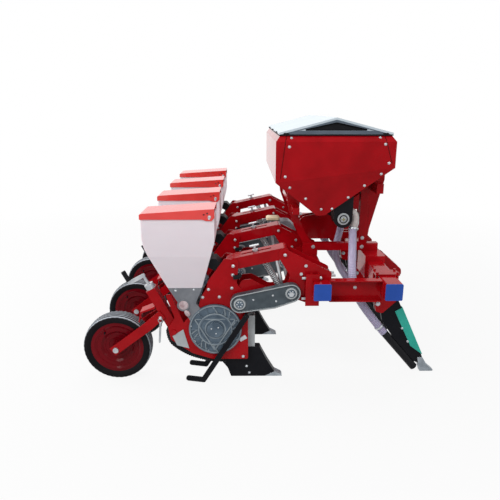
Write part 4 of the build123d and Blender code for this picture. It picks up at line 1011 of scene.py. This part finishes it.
@dataclass
class PressTyres:
    """Ribbed tyres of the press wheels."""

    crown: float = 207.4
    shoulder: float = 46.0
    bow: float = 4.5
    grooves: tuple[float, ...] = (-34.0, -17.0, 0.0, 17.0, 34.0)
    groove_wall: Pair = (3.2, 4.4)
    groove_depth: float = 6.0
    # Where the tread's dust and painted reflection come in across the ribs, and its small share on the
    # flanks.
    rib_dust_and_sheen: Pair = (4.8, 5.6)
    side_dust_and_sheen: float = 0.01
    side: tuple[Pair, ...] = (
        (152.5, 37.0), (158.0, 40.0), (164.0, 46.0), (174.0, 52.0), (184.0, 54.8), (193.0, 54.0),
        (199.0, 51.0),
    )
    seat: tuple[Pair, ...] = ((153.0, 20.0), (153.0, -20.0))
    notches: int = 44
    notch_gap: float = 0.3
    notch_depth: float = 2.2
    notch_from: Pair = (41.0, 44.0)
    notch_above: float = 197.0
    tread_steps: int = 93
    segments: int = 132

    def surface(self) -> tuple[np.ndarray, np.ndarray]:
        """Tyre about its own middle: each profile point (r, y) is carried round, x = r cos t, z = r sin t.

        Over the tread r = crown - bow (y / shoulder)^2 - depth in the grooves; notches cut the shoulders.

        Returns:
            The grid of points in millimetres, and for each point its share of the tread's dust and painted
            reflection.
        """
        across = np.linspace(-self.shoulder, self.shoulder, self.tread_steps)
        cut = np.abs(across[:, None] - np.array(self.grooves)).min(axis=1)
        groove = np.interp(cut, self.groove_wall, (1.0, 0.0))
        tread = self.crown - self.bow * (across / self.shoulder) ** 2 - self.groove_depth * groove
        wall, seat = np.array(self.side), np.array(self.seat)
        radius = np.concatenate([wall[:, 0], tread, wall[::-1, 0], seat[:, 0]])[:, None]
        place = np.concatenate([-wall[:, 1], across, wall[::-1, 1], seat[:, 1]])[:, None]
        turn = full_turn(self.segments)
        notch = np.clip(np.cos(turn * self.notches) - self.notch_gap, 0.0, 1.0)
        edge = np.interp(np.abs(place), self.notch_from, (0.0, 1.0)) * (radius > self.notch_above)
        reach = radius - self.notch_depth * edge * notch
        grid = np.stack(np.broadcast_arrays(reach * np.cos(turn), place, reach * np.sin(turn)), axis=-1)
        # Paler rib tops take dust and a painted reflection; the flanks take almost none.
        flank = np.full(len(wall), self.side_dust_and_sheen)
        ribs = np.interp(cut, self.rib_dust_and_sheen, (0.0, 1.0))
        worn = np.concatenate([flank, ribs, flank, np.zeros(len(seat))])
        return grid, np.repeat(worn, self.segments)

    def build(self) -> None:
        """Put a ribbed tyre in place of each CAD tyre."""
        grid, worn = self.surface()
        for number, row in enumerate(ROWS, start=1):
            form = sheet(grid * MM, wrap_rows=True).moved(spot(WHEEL_AT[0], row, WHEEL_AT[1]))
            fit(f"ribbed_tyre_{number}", form, RUBBER, f"wheel_{number}", [f"tyre_{number}"], worn, 50.0)


@dataclass
class RimRings:
    """Pressed rings and a valve on the discs of the press wheels."""

    rings: tuple[float, ...] = (58.0, 80.0, 104.0, 128.0)
    bead: float = 2.4
    valve_at: Pair = (-70.8, 94.4)
    valve: tuple[Pair, ...] = ((0, -2), (6, -2), (5, 6), (3.4, 9), (3.4, 22), (0, 22))

    def ring(self, skin: Skin, row: float, radius: float, side: float) -> Form:
        """One ring: a round section carried about the axle, half sunk in the disc.

        Args:
            skin: Surface of the rim.
            row: Y of the wheel.
            radius: Radius of the ring.
            side: Side of the disc.

        Returns:
            The ring.
        """
        seat, _ = skin.beside(WHEEL_AT[0] + radius, row, WHEEL_AT[1], side)
        x, z = on_circle(WHEEL_AT, radius, full_turn(72))
        return swept(spot(x, seat[0, 1] / MM, z), ring_section(self.bead, 8), ACROSS, loop=True)

    def build(self) -> None:
        """Dress every wheel."""
        x, z = np.add(WHEEL_AT, self.valve_at)
        for number, row in enumerate(ROWS, start=1):
            skin = Skin(f"rim_{number}")
            rings = [self.ring(skin, row, radius, side) for radius in self.rings for side in SIDES]
            fit(f"rim_rings_{number}", joined(rings), SHADED_RIM_RED, f"wheel_{number}")
            seat, normal = skin.beside(x, row, z, -1.0)
            stem = revolved(self.valve, 10).copies(turned_to(normal), seat)
            fit(f"valve_{number}", stem, BLACK_PLASTIC, f"wheel_{number}")


@dataclass
class FertiliserHoses:
    """Ribbed hoses with their elbows, from the feeders down to the shanks' boots."""

    radius: float = 25.0
    pitch: float = 10.0
    rib: float = 0.06
    runs: tuple[Pair, ...] = ((-190, -260), (-555, -860), (190, 260), (555, 860))
    route: tuple[Triple, ...] = (
        (259, 0.0, 884), (255, 0.15, 790), (207, 0.93, 655), (228, 1.0, 520), (353, 1.0, 346),
        (425, 1.0, 263),
    )
    elbow_curve: tuple[Pair, Pair, Pair] = ((18, 34), (112, 50), (75, -60))
    elbow_size: float = 1.12
    collar: float = 0.14
    band_at: tuple[int, int] = (12, -22)
    hoop: tuple[Pair, ...] = ((26, -6), (28.4, -6), (29, -4.5), (29, 4.5), (28.4, 6), (26, 6))
    screw: tuple[Triple, Triple] = ((31, -13, 0), (31, 15, 0))

    def line(self, feed_y: float, shank_y: float) -> np.ndarray:
        """Middle line of one hose in even steps.

        Args:
            feed_y: Y of the feeder.
            shank_y: Y of the shank.

        Returns:
            Points, in metres.
        """
        x, share, z = np.array(self.route).T
        controls = spot(x, feed_y + share * (shank_y - feed_y), z)
        return even_steps(nurbs_line(controls), self.pitch / WAVE_STEPS)

    def tube(self, line: np.ndarray) -> tuple[Form, np.ndarray]:
        """Ribbed tube: the radius swells and draws in by the cosine of the way along, once a pitch.

        Args:
            line: Middle line of the hose.

        Returns:
            The tube, and for each point nought in a groove to one on a rib.
        """
        swell = wave(len(line))
        section = ring_section(self.radius, 16)
        form = swept(line, section, (1.0, 0.0, 0.1), 1.0 - self.rib / 2 + self.rib * swell)
        ribs = np.concatenate([[0.0], 0.5 + 0.5 * swell, [0.0]])
        return form, np.repeat(ribs, len(section))

    def elbow(self, feed_y: float) -> Form:
        """Moulded elbow: a round section carried along a quadratic curve from the feeder to the hose.

        Args:
            feed_y: Y of the feeder.

        Returns:
            The elbow with its collar.
        """
        x, z = np.add(FEEDER_AT, self.elbow_curve).T
        first, turn, last = spot(x, feed_y, z)
        share = np.linspace(0.0, 1.0, 20)[:, None]
        path = first * (1 - share) ** 2 + turn * 2 * share * (1 - share) + last * share**2
        size = self.elbow_size + self.rib * np.cos(share[:, 0] * math.tau)
        size[-4:] += self.collar
        return swept(path, ring_section(self.radius, 18), (0.0, 1.0, 0.05), size)

    def band(self, line: np.ndarray, at: int) -> Form:
        """Clamp band round the hose with its screw.

        Args:
            line: Middle line of the hose.
            at: Point of the line that the band sits at.

        Returns:
            The band and its screw.
        """
        along = unit(line[at + 2] - line[at - 2])
        screw = bar(*(np.array(self.screw) * MM), block_section(8.0, 10.0, 2.5), UP)
        return joined([revolved(self.hoop, 28), screw]).copies(turned_to(along[None]), line[at][None])

    def build(self) -> None:
        """Make the hoses, their elbows and the bands."""
        lines = [self.line(*run) for run in self.runs]
        tubes, ribs = zip(*[self.tube(line) for line in lines])
        fit("ribbed_hoses", joined(tubes), HOSE, "frame", ["fert_hoses"], np.concatenate(ribs), 60.0)
        elbows = [self.elbow(feed_y) for feed_y, _ in self.runs]
        fit("hose_elbows", joined(elbows), ELBOW, "frame", ["fert_hoses"])
        fit("hose_bands", joined([self.band(line, at) for line in lines for at in self.band_at]), ZINC)


@dataclass
class LinkSprings:
    """Wound springs between the links of each row."""

    low: Pair = (-218.0, 551.0)
    high: Pair = (-360.0, 793.0)
    offset: float = 20.0
    radius: float = 17.0
    wire: float = 4.2
    coils: int = 27
    eased: float = 0.28

    def form(self, y: float) -> Form:
        """Helix: middle line + r (cos t side + sin t up), with close turns at both ends.

        Args:
            y: Y of the spring.

        Returns:
            The spring.
        """
        start, end = spot(self.low[0], y, self.low[1]), spot(self.high[0], y, self.high[1])
        along = unit(end - start)
        share = np.linspace(0.0, 1.0, self.coils * 12)[:, None]
        climb = (1.0 - self.eased) * share + self.eased * (0.5 - 0.5 * np.cos(share * math.pi))
        turn = share * self.coils * math.tau
        round_it = np.cos(turn) * ACROSS + np.sin(turn) * np.cross(along, ACROSS)
        path = start + (end - start) * climb + self.radius * MM * round_it
        return swept(path, ring_section(self.wire, 7), tuple(along))

    def build(self) -> None:
        """Put a wound spring in place of each sleeve."""
        springs = joined([self.form(row + self.offset) for row in ROWS])
        fit("wound_springs", springs, SPRING_STEEL, "frame", ["link_springs"], crease=70.0)


@dataclass
class HopperTrim:
    """Seams of the hopper's sheets, edging, gable panels and frames, and latches of its lid."""

    seam_lines: tuple[tuple[Pair, ...], ...] = (
        ((-190, 1462), (-199, 1418), (-226, 1200)),
        ((398, 1462), (410, 1418), (450, 1292)),
    )
    lid_x: Pair = (-237.0, 452.0)
    lid_half: float = 661.0
    lid_corner: float = 10.0
    foot: float = 1459.5
    gable: tuple[Pair, ...] = ((-121, 1485), (107.5, 1534), (336, 1485))
    gable_edge: tuple[Pair, ...] = ((-222, 1464), (107.5, 1549), (437, 1464))
    gable_lift: float = 2.5
    gable_sunk: float = -1.0
    recess: float = 18.0
    latch_at: tuple[Pair, ...] = ((-192, 1466), (404, 1466))
    latch: tuple[Triple, Triple] = ((34, 13, 3), (14, 7, 7))
    eave_at: tuple[float, ...] = (-430.0, 0.0, 430.0)
    eave_z: float = 1466.0
    eave_latch: tuple[Triple, Triple] = ((75, 13, 3), (30, 8, 8))

    def seams(self) -> Form:
        """Raised seams on both end panels: thin half-round beads laid on the sheet.

        Returns:
            All beads.
        """
        skin = Skin("fert_hopper")
        share = np.linspace(0.0, 1.0, 15)
        beads = []
        for seam in self.seam_lines:
            knots = np.linspace(0.0, 1.0, len(seam))
            x, z = (np.interp(share, knots, values) for values in zip(*seam))
            for side in SIDES:
                path, _ = skin.beside(x, 0.0, z, side, HOPPER_REACH)
                beads.append(swept(path, block_section(5.0, 2.4, 1.0), ACROSS))
        return joined(beads)

    def edging(self) -> Form:
        """Rubber edging along the lid's lower edge: a rounded section carried round a rounded rectangle.

        Returns:
            The closed ring.
        """
        back, front = self.lid_x
        outline = block_section(front - back, 2 * self.lid_half, self.lid_corner, 5)
        path = spot((back + front) / 2, 0.0, self.foot) + outline @ np.array([ALONG, ACROSS])
        return swept(path, block_section(5.0, 8.0, 1.8), UP, loop=True)

    @staticmethod
    def round_triangle(corners: Sequence[Pair], grow: float = 1.0) -> np.ndarray:
        """Walk round a triangle: from each corner on to the next in even steps.

        Args:
            corners: The three corners.
            grow: Size against the given triangle, about its middle.

        Returns:
            X and Z of the points.
        """
        corner = np.array(corners, float)
        share = np.linspace(0.0, 3.0, 36, endpoint=False)
        first = share.astype(int)
        edge = corner[first] + (corner[(first + 1) % 3] - corner[first]) * (share - first)[:, None]
        middle = corner.mean(axis=0)
        return (middle + (edge - middle) * grow).T

    def gable_panel(self, side: float) -> Form:
        """Dark panel in the recess of one gable end, a slab on the recess floor."""
        x, z = self.round_triangle(self.gable, 0.995)
        return slab(spot(x, side * (self.lid_half - self.recess - 1.0), z), (0.0, side, 0.0), 5.0)

    def gable_frame(self, side: float) -> Form:
        """Frame round one gable recess: a flat ring between two triangles, a little proud of the lid's end.

        Args:
            side: End of the lid.

        Returns:
            The ring.
        """
        rims = []
        for corners, grow, lift in (
            (self.gable, 1.0, self.gable_sunk),
            (self.gable, 1.0, self.gable_lift),
            (self.gable_edge, 0.99, self.gable_lift),
            (self.gable_edge, 1.0, self.gable_sunk),
        ):
            x, z = self.round_triangle(corners, grow)
            rims.append(spot(x, side * (self.lid_half + lift), z))
        return sheet(np.stack(rims), wrap_rows=True)

    def latches(self) -> Form:
        """Small dark latches at the gable ends and along the rear eave, each two slabs on the lid.

        Returns:
            All latches.
        """
        skin = Skin("fert_lid")
        spots = [
            (skin.beside(x, 0.0, z, side, HOPPER_REACH)[0], ALONG, (0.0, side, 0.0), self.latch)
            for side in SIDES
            for x, z in self.latch_at
        ]
        behind = spot(self.lid_x[0] - ROW_REACH, self.eave_at, self.eave_z)
        seats, _ = skin.seats(behind, ALONG)
        spots += [(seat, ACROSS, (-1.0, 0.0, 0.0), self.eave_latch) for seat in seats]
        made = []
        for seat, across, facing, layers in spots:
            for width, height, lift in layers:
                rim = seat + block_section(width, height, 3.0) @ np.array([across, UP])
                made.append(slab(rim, facing, lift))
        return joined(made)

    def build(self) -> None:
        """Dress the hopper and its lid."""
        fit("hopper_seams", self.seams(), SEAM_RED)
        fit("lid_edging", self.edging(), BLACK_PLASTIC, "hopper_lid")
        fit("gable_panels", joined([self.gable_panel(side) for side in SIDES]), BLACK_PLASTIC, "hopper_lid")
        # The gable frames take the darker copy of the sheet: painted shade.
        fit("gable_frames", joined([self.gable_frame(side) for side in SIDES]), SHADED_SHEET, "hopper_lid")
        fit("lid_latches", self.latches(), BLACK_PLASTIC, "hopper_lid")


@dataclass
class FeederDiscs:
    """Setting discs at the ends of the feeders' cross shaft."""

    face: float = 620.0
    disc: tuple[Pair, ...] = (
        (0, -1), (37, -1), (37, 2), (35, 3.4), (29, 3.4), (28, 2.2), (20, 2.2), (19, 3.4), (0, 3.4),
    )
    ring: tuple[Pair, ...] = ((26.5, 1.5), (26.5, 4.6), (25, 5.6), (22.5, 5.6), (21, 4.6), (21, 1.5))
    hub: tuple[Pair, ...] = ((0, 2), (13, 2), (13, 9), (11.5, 10.5), (0, 10.5))

    def ends(self, form: Form) -> Form:
        """A form set on both ends of the shaft."""
        places = spot(FEEDER_AT[0], np.array(SIDES) * self.face, FEEDER_AT[1])
        return form.copies(turned_to(np.array([RIGHT, ACROSS])), places)

    def build(self) -> None:
        """Make the pale discs, the dark rings and the square hubs."""
        fit("feeder_discs", self.ends(revolved(self.disc, 36)), PALE_DISC)
        fit("feeder_rings", self.ends(revolved(self.ring, 36)), BLACK_PLASTIC)
        fit("feeder_hubs", self.ends(revolved(self.hub, 16, 4)), OLIVE)


@dataclass
class RowFittings:
    """Windows, ducts, guards, stops, hanging pins and setting plates of the rows, and their lids' studs."""

    window_at: Pair = (-806.0, 498.0)
    glass: tuple[Pair, ...] = ((0, -1), (30, -1), (30, 2.4), (27, 4.2), (16, 5.6), (0, 6.2))
    window_rim: tuple[Pair, ...] = ((29, -1), (37, -1), (37, 4), (35.5, 6), (31, 6), (29, 4.2))
    duct: tuple[Triple, ...] = (
        (-797, 466, 0.5), (-791, 456, 0.9), (-785, 447, 1.0), (-779, 439, 0.95), (-775, 433, 0.8),
    )
    duct_radius: float = 16.0
    stop: tuple[Triple, ...] = ((-512, 664, 0.9), (-500, 666, 1.0), (-484, 669, 0.92), (-464, 674, 0.5))
    stop_off: float = 54.0
    guard: tuple[Pair, ...] = (
        (-906, 322), (-902, 262), (-852, 212), (-776, 166), (-700, 142), (-640, 128), (-560, 127),
    )
    guard_lug: float = 14.0
    guard_swell: float = 0.05
    pin: tuple[Pair, Pair] = ((-953.0, 372.0), (-964.0, 239.0))
    pin_shape: tuple[Pair, ...] = (
        (0.0, 1.1), (0.05, 1.5), (0.1, 1.5), (0.16, 1.5), (0.17, 1.0), (0.93, 1.0), (0.98, 0.75),
        (1.0, 0.4),
    )
    pin_radius: float = 6.0
    pin_off: float = 7.0
    pin_ring: float = 13.0
    pin_ring_lift: float = 14.0
    pin_stud_lift: float = 26.0
    tag: tuple[Pair, Pair] = ((-476.0, 264.0), (-438.0, 288.0))
    tag_thick: float = 7.0
    tag_screws: float = 0.8
    dots: tuple[Pair, ...] = ((-671.0, 1046.0), (-652.0, 1053.0))
    stud: Pair = (-640.0, 1033.0)

    def windows(self, profile: Sequence[Pair]) -> Form:
        """Turn a profile and seat it on both faces of every neck.

        Args:
            profile: Pairs of radius and height, in millimetres.

        Returns:
            All copies.
        """
        skin = Skin("seed_necks")
        form = revolved(profile, 30)
        x, z = self.window_at
        made = []
        for side in SIDES:
            seat, normal = skin.beside(x, ROWS, z, side)
            made.append(form.copies(turned_to(normal), seat))
        return joined(made)

    def ducts(self) -> Form:
        """Clear duct below each window: a round section along a line on the neck's face, half sunk in it.

        Returns:
            The ducts of both faces of all necks.
        """
        skin = Skin("seed_necks")
        x, z, size = np.array(self.duct).T
        section = ring_section(self.duct_radius, 12)
        paths = [skin.beside(x, row, z, side)[0] for side in SIDES for row in ROWS]
        return joined([swept(path, section, ACROSS, size) for path in paths])

    def stops(self) -> Form:
        """Rubber stop on the front edge of each side plate: a tapering block carried forward.

        Returns:
            The stops of all rows.
        """
        x, z, size = np.array(self.stop).T
        block = block_section(26.0, 52.0, 6.0)
        return joined([swept(spot(x, row - self.stop_off, z), block, ACROSS, size) for row in ROWS])

    def guards(self) -> Form:
        """Rubber guard under each row's side plates: a flat band that swells in lugs along a smooth line.

        Returns:
            The guards of all rows.
        """
        x, z = np.array(self.guard).T
        band = block_section(30.0, 110.0, 5.0)
        made = []
        for row in ROWS:
            path = even_steps(nurbs_line(spot(x, row, z)), self.guard_lug / WAVE_STEPS)
            made.append(swept(path, band, ACROSS, 1.0 + self.guard_swell * wave(len(path))))
        return joined(made)

    def pins(self) -> Form:
        """Locking pin that hangs by a ring from a stud on each wheel arm.

        Returns:
            The pins, rings and studs of all rows.
        """
        skin = Skin("wheel_arms")
        top, low = np.array(self.pin)
        share, size = np.array(self.pin_shape).T
        pin_x, pin_z = (top + (low - top) * share[:, None]).T
        ring_x, ring_z = on_circle((top[0], top[1] + self.pin_ring_lift), self.pin_ring, full_turn(20))
        made = []
        for row in ROWS:
            seat, _ = skin.beside(top[0], row, top[1] + self.pin_stud_lift, -1.0)
            y = seat[0, 1] / MM - self.pin_off
            made.append(swept(spot(ring_x, y, ring_z), ring_section(2.4, 7), ACROSS, loop=True))
            made.append(swept(spot(pin_x, y, pin_z), ring_section(self.pin_radius), ACROSS, size))
            made.append(Head.HEX.form(9.0).copies(turned_to(np.array([RIGHT])), seat))
        return joined(made)

    def tags(self) -> Form:
        """Plated setting plate beside each meter, on the side plate.

        Returns:
            The plates with their two screws.
        """
        skin = Skin("side_plates")
        x, z = np.array(self.tag).T
        face = np.array(RIGHT) * self.tag_thick / 2 * MM
        made = []
        for row in ROWS:
            ends, _ = skin.beside(x, row, z, -1.0)
            made.append(bar(*ends, block_section(26.0, self.tag_thick, 1.5), ACROSS))
            screws = ends * self.tag_screws + ends.mean(axis=0) * (1.0 - self.tag_screws) + face
            made.append(Head.SCREW.form(5.0).copies(turned_to(np.array([RIGHT])), screws))
        return joined(made)

    def build(self) -> None:
        """Dress every row."""
        fit("neck_windows", self.windows(self.glass), WINDOW)
        fit("guard_bands", self.guards(), BLACK_PLASTIC)
        fit("rubber_stops", self.stops(), BLACK_PLASTIC)
        fit("clear_ducts", self.ducts(), WINDOW)
        fit("window_rims", self.windows(self.window_rim), GREY_PLASTIC)
        fit("hanging_pins", self.pins(), ZINC)
        fit("setting_plates", self.tags(), ZINC)
        for number, row in enumerate(ROWS, start=1):
            dots = BoltField(f"seed_lid_{number}", Head.SCREW, 4.5, self.dots, (row,))
            stud = BoltField(f"seed_lid_{number}", Head.DOME, 7.0, (self.stud,), (row,))
            fit(f"lid_dots_{number}", dots.form(), BLACK_PLASTIC, f"lid_{number}")
            fit(f"lid_studs_{number}", stud.form(), ZINC, f"lid_{number}")


@dataclass
class MeterRelief:
    """Cast beads on the ribbed cover of each seed meter, and the rims and hub rings of the chain cases; the
    cover's beads and the cases' rims are painted lighter as painted highlights.
    """

    rings: tuple[float, ...] = (60.0, 100.0, 151.0)
    ring_width: float = 5.0
    corner_radius: float = 136.0
    corner_turns: Triple = (152.0, 28.0, 268.0)
    corner_width: float = 4.5
    barbs: int = 26
    barb_reach: Pair = (106.0, 144.0)
    barb_lean: float = 0.2
    barb_width: float = 3.5
    bead_sunk: float = 2.0
    bead_height: float = 8.0
    bead_round: float = 0.3
    case_radius: float = 51.5
    case_belly: Triple = (-273.3, 511.6, 19.5)
    case_face: float = 112.3
    hub_ring: tuple[Pair, ...] = ((24.4, -2), (34, -2), (34, 2.5), (32.5, 4), (26, 4), (24.4, 2.5))
    hub_ring_seat: float = 30.0
    hub_cap: tuple[Pair, ...] = ((0, -1), (22, -1), (22, 0.6), (21, 0.9), (0, 0.9))
    hub_cap_seat: float = 19.0

    def cover(self, row: float) -> Form:
        """Rings, a three-cornered bead and slanting barbs of one cover.

        Each bead is level with the highest point under its line and sunk a little into the cover.

        Args:
            row: Y of the row.

        Returns:
            All beads of the row.
        """
        skin = Skin("meter_covers")
        turn = full_turn(60)
        lines = [(on_circle(METER_AT, radius, turn), self.ring_width, True) for radius in self.rings]
        corners = on_circle(METER_AT, self.corner_radius, np.radians(self.corner_turns)).T[:, :, None]
        share = np.linspace(0.0, 1.0, 9)
        for first, second in zip(corners, np.roll(corners, -1, axis=0)):
            lines.append((first * (1 - share) + second * share, self.corner_width, False))
        reach = np.linspace(*self.barb_reach, 4)
        for start in full_turn(self.barbs):
            barb = on_circle(METER_AT, reach, start + np.linspace(0.0, self.barb_lean, len(reach)))
            lines.append((barb, self.barb_width, False))
        made = []
        for (x, z), width, loop in lines:
            path, _ = skin.beside(x, row, z, -1.0)
            path[:, 1] = path[:, 1].min() + self.bead_sunk * MM
            section = block_section(self.bead_height, width, width * self.bead_round)
            made.append(swept(path, section, ACROSS, loop=loop))
        return joined(made)

    def case_rim(self, row: float) -> Form:
        """Bead along the raised rim of one chain case, which wraps three circles.

        For each direction n the rim's point is c + r n of the circle with the largest c . n + r.

        Args:
            row: Y of the row.

        Returns:
            The bead.
        """
        facing = on_circle((0.0, 0.0), 1.0, full_turn(96)).T
        circles = np.array([(*hub, self.case_radius) for hub in CASE_HUBS] + [self.case_belly])
        widest = circles[(facing @ circles[:, :2].T + circles[:, 2]).argmax(axis=1)]
        x, z = (widest[:, :2] + widest[:, 2:] * facing).T
        return swept(spot(x, row - self.case_face, z), block_section(4.5, 5.0, 1.4), ACROSS, loop=True)

    def hub_rings(self, profile: Sequence[Pair], reach: float) -> Form:
        """Turn a profile and seat it on both hubs of every chain case.

        Args:
            profile: Pairs of radius and height, in millimetres.
            reach: Distance from the hub's middle at which the seat is found.

        Returns:
            All copies.
        """
        skin = Skin("chain_cases")
        form = revolved(profile, 30)
        made = []
        for x, z in CASE_HUBS:
            seat, _ = skin.beside(x + reach, ROWS, z, -1.0)
            made.append(form.copies(turned_to(np.array([RIGHT])), spot(x, seat[:, 1] / MM, z)))
        return joined(made)

    def build(self) -> None:
        """Dress the covers and the cases."""
        # The cover's beads take the lighter casting: painted highlight.
        fit("cover_beads", joined([self.cover(row) for row in ROWS]), CASTING_HIGHLIGHT)
        # The rim bead takes the pale moulding: a painted highlight along the case's rim.
        fit("case_rims", joined([self.case_rim(row) for row in ROWS]), PALE_DISC)
        fit("case_rings", self.hub_rings(self.hub_ring, self.hub_ring_seat), PALE_DISC)
        fit("case_caps", self.hub_rings(self.hub_cap, self.hub_cap_seat), CASTING)


@dataclass
class GearboxCap:
    """Cream cap on the drive gearbox, with its dark joint."""

    middle: Pair = (-232.0, 0.0)
    size: Pair = (100.0, 96.0)
    corner: float = 16.0
    top: float = 799.5
    joint: float = 4.0
    joint_size: float = 1.03
    height: float = 26.0

    def build(self) -> None:
        """Stack the joint and the cap, two slabs with rounded corners, on the case."""
        outline = block_section(*self.size, self.corner, 6) @ np.array([ALONG, ACROSS])
        for name, grow, low, high, finish in (
            ("gearbox_joint", self.joint_size, 0.0, self.joint, BLACK_PLASTIC),
            ("gearbox_cap", 1.0, self.joint, self.height, CREAM),
        ):
            place = spot(*self.middle, self.top + low)
            fit(name, slab(place + outline * grow, UP, high - low, 0.86), finish)


@dataclass
class WeldSeams:
    """Weld beads where the cross beams meet the toolbars."""

    beam_x: Pair = (50.0, 360.0)
    beam_y: Pair = (943.0, 995.0)
    beam_z: Pair = (552.0, 648.0)
    top: float = 650.0
    bead: float = 3.6
    step: float = 1.6
    ripple: float = 0.13
    lean: Triple = (0.31, 0.48, 0.82)

    def run(self, ends: np.ndarray) -> Form:
        """One bead between two ends: a round section whose size ripples by the cosine of the way along."""
        path = even_steps(ends, self.step)
        return swept(path, ring_section(self.bead, 7), self.lean, 1.0 + self.ripple * wave(len(path)))

    def build(self) -> None:
        """Weld both beams at both toolbars, up their two edges and across the top."""
        beads = []
        for side in SIDES:
            across = side * np.array(self.beam_y)
            for x in self.beam_x:
                beads += [self.run(spot(x, y, self.beam_z)) for y in across]
                beads.append(self.run(spot(x, across, self.top)))
        fit("weld_beads", joined(beads), RED, crease=80.0)


@dataclass
class Studio:
    """Camera, floor and soft light of the photograph, in metres and degrees."""

    eye: Triple = (-0.1005, -3.73, 1.61)
    pitch: float = 15.75
    yaw: float = -0.55
    lens: float = 36.0
    sensor: float = 36.0
    floor_half: float = 30.0
    floor_grey: float = 0.5
    shadow_reach: float = 1.4
    shadow_fade: float = 0.25
    shadow_white: float = 0.9
    ambient: float = 0.55
    aim: Triple = (0.0, 0.0, 0.7)
    lamps: tuple[tuple[str, Triple, float, float], ...] = (
        ("key_lamp", (-2.6, -4.2, 4.4), 2.6, 150.0),
        ("side_lamp", (-5.2, 0.4, 2.6), 2.6, 190.0),
        ("fill_lamp", (3.8, -3.4, 2.6), 3.0, 40.0),
        ("top_lamp", (0.2, 1.0, 5.2), 4.0, 105.0),
    )

    def camera(self) -> None:
        """Set the camera where the photograph was taken from."""
        pitch, yaw = math.radians(self.pitch), math.radians(self.yaw)
        level = Vector((-math.sin(yaw), math.cos(yaw), 0.0))
        ahead = level * math.cos(pitch) - Vector(UP) * math.sin(pitch)
        right = Vector((math.cos(yaw), math.sin(yaw), 0.0))
        data = bpy.data.cameras.new("photo_camera")
        data.lens = self.lens
        data.sensor_width = self.sensor
        made = bpy.data.objects.new("photo_camera", data)
        turn = Matrix((right, right.cross(ahead), -ahead)).transposed()
        made.matrix_world = Matrix.Translation(self.eye) @ turn.to_4x4()
        bpy.context.scene.collection.objects.link(made)
        bpy.context.scene.camera = made

    @staticmethod
    def seen(graph: Graph) -> Signal:
        """One for rays from the camera or from gloss and glass, and nought for the rest."""
        rays = ("Is Camera Ray", "Is Glossy Ray", "Is Transmission Ray")
        camera, glossy, through = (graph.node("ShaderNodeLightPath", output=ray) for ray in rays)
        return camera.larger(glossy).larger(through)

    def floor(self) -> None:
        """White floor that keeps the shadow."""
        side = np.linspace(-self.floor_half, self.floor_half, 3)
        form = sheet(np.stack([*np.meshgrid(side, side), np.zeros((3, 3))], axis=-1), wrap_columns=False)
        mesh = bpy.data.meshes.new("studio_floor")
        mesh.from_pydata(form.points.tolist(), [], form.faces.tolist())
        material = bpy.data.materials.new("studio_floor")
        material.use_nodes = True
        graph = Graph(material.node_tree)
        matt = graph.node("ShaderNodeBsdfDiffuse", {}, {"Color": (*[self.floor_grey] * 3, 1.0)})
        glow = graph.node("ShaderNodeEmission", {}, {"Color": (1.0, 1.0, 1.0, 1.0), "Strength": 1.0})
        place = graph.node("ShaderNodeTexCoord", output="Object")
        away = graph.node("ShaderNodeVectorMath", {"operation": "LENGTH"}, {0: place}, 1)
        far = ((away - self.shadow_reach) * self.shadow_fade).bounded()
        white = far * (1.0 - self.shadow_white) + self.shadow_white
        mixed = graph.node("ShaderNodeMixShader", {}, {0: self.seen(graph) * white, 1: matt, 2: glow})
        graph.node("ShaderNodeOutputMaterial", {}, {"Surface": mixed})
        mesh.materials.append(material)
        made = bpy.data.objects.new("studio_floor", mesh)
        bpy.context.scene.collection.objects.link(made)

    def light(self) -> None:
        """Soft lamps, and a world that is white to the camera."""
        for name, place, size, power in self.lamps:
            lamp = bpy.data.lights.new(name, "AREA")
            lamp.size = size
            lamp.energy = power
            made = bpy.data.objects.new(name, lamp)
            made.location = place
            made.rotation_euler = (Vector(self.aim) - Vector(place)).to_track_quat("-Z", "Y").to_euler()
            bpy.context.scene.collection.objects.link(made)
        world = bpy.data.worlds.new("studio_world")
        world.use_nodes = True
        graph = Graph(world.node_tree)
        strength = self.seen(graph) * (1.0 - self.ambient) + self.ambient
        sky = graph.node("ShaderNodeBackground", {}, {"Color": (1.0, 1.0, 1.0, 1.0), "Strength": strength})
        graph.node("ShaderNodeOutputWorld", {}, {"Surface": sky})
        bpy.context.scene.world = world
        bpy.context.scene.view_settings.view_transform = "Standard"

    def build(self) -> None:
        """Set up the studio."""
        self.camera()
        self.floor()
        self.light()


def clear_scene() -> None:
    """Remove what Blender starts with."""
    for thing in list(bpy.data.objects):
        bpy.data.objects.remove(thing)


def dress(frame: dict[str, Any]) -> None:
    """Give every CAD node the finish of its material slot.
    """
    for part in frame["record"]["subparts"]:
        mesh = frame["nodes"][part["node"]].data
        mesh.materials.clear()
        finish = NODE_FINISH.get(part["node"], SLOT_FINISH[part["material_slot"]])
        mesh.materials.append(finish.material())
        LOG.info("%s: %s", part["node"], part["material_slot"])


def main() -> None:
    """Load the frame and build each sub-assembly in order."""
    logging.basicConfig(level=logging.INFO, format="%(name)s %(message)s")
    clear_scene()
    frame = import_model()
    Studio().build()
    dress(frame)
    for assembly in (
        FertiliserHoses(), PressTyres(), RimRings(), LinkSprings(), HopperTrim(), FeederDiscs(),
        RowFittings(), MeterRelief(), GearboxCap(), WeldSeams(), Fasteners(),
    ):
        assembly.build()


if __name__ == "__main__":
    main()
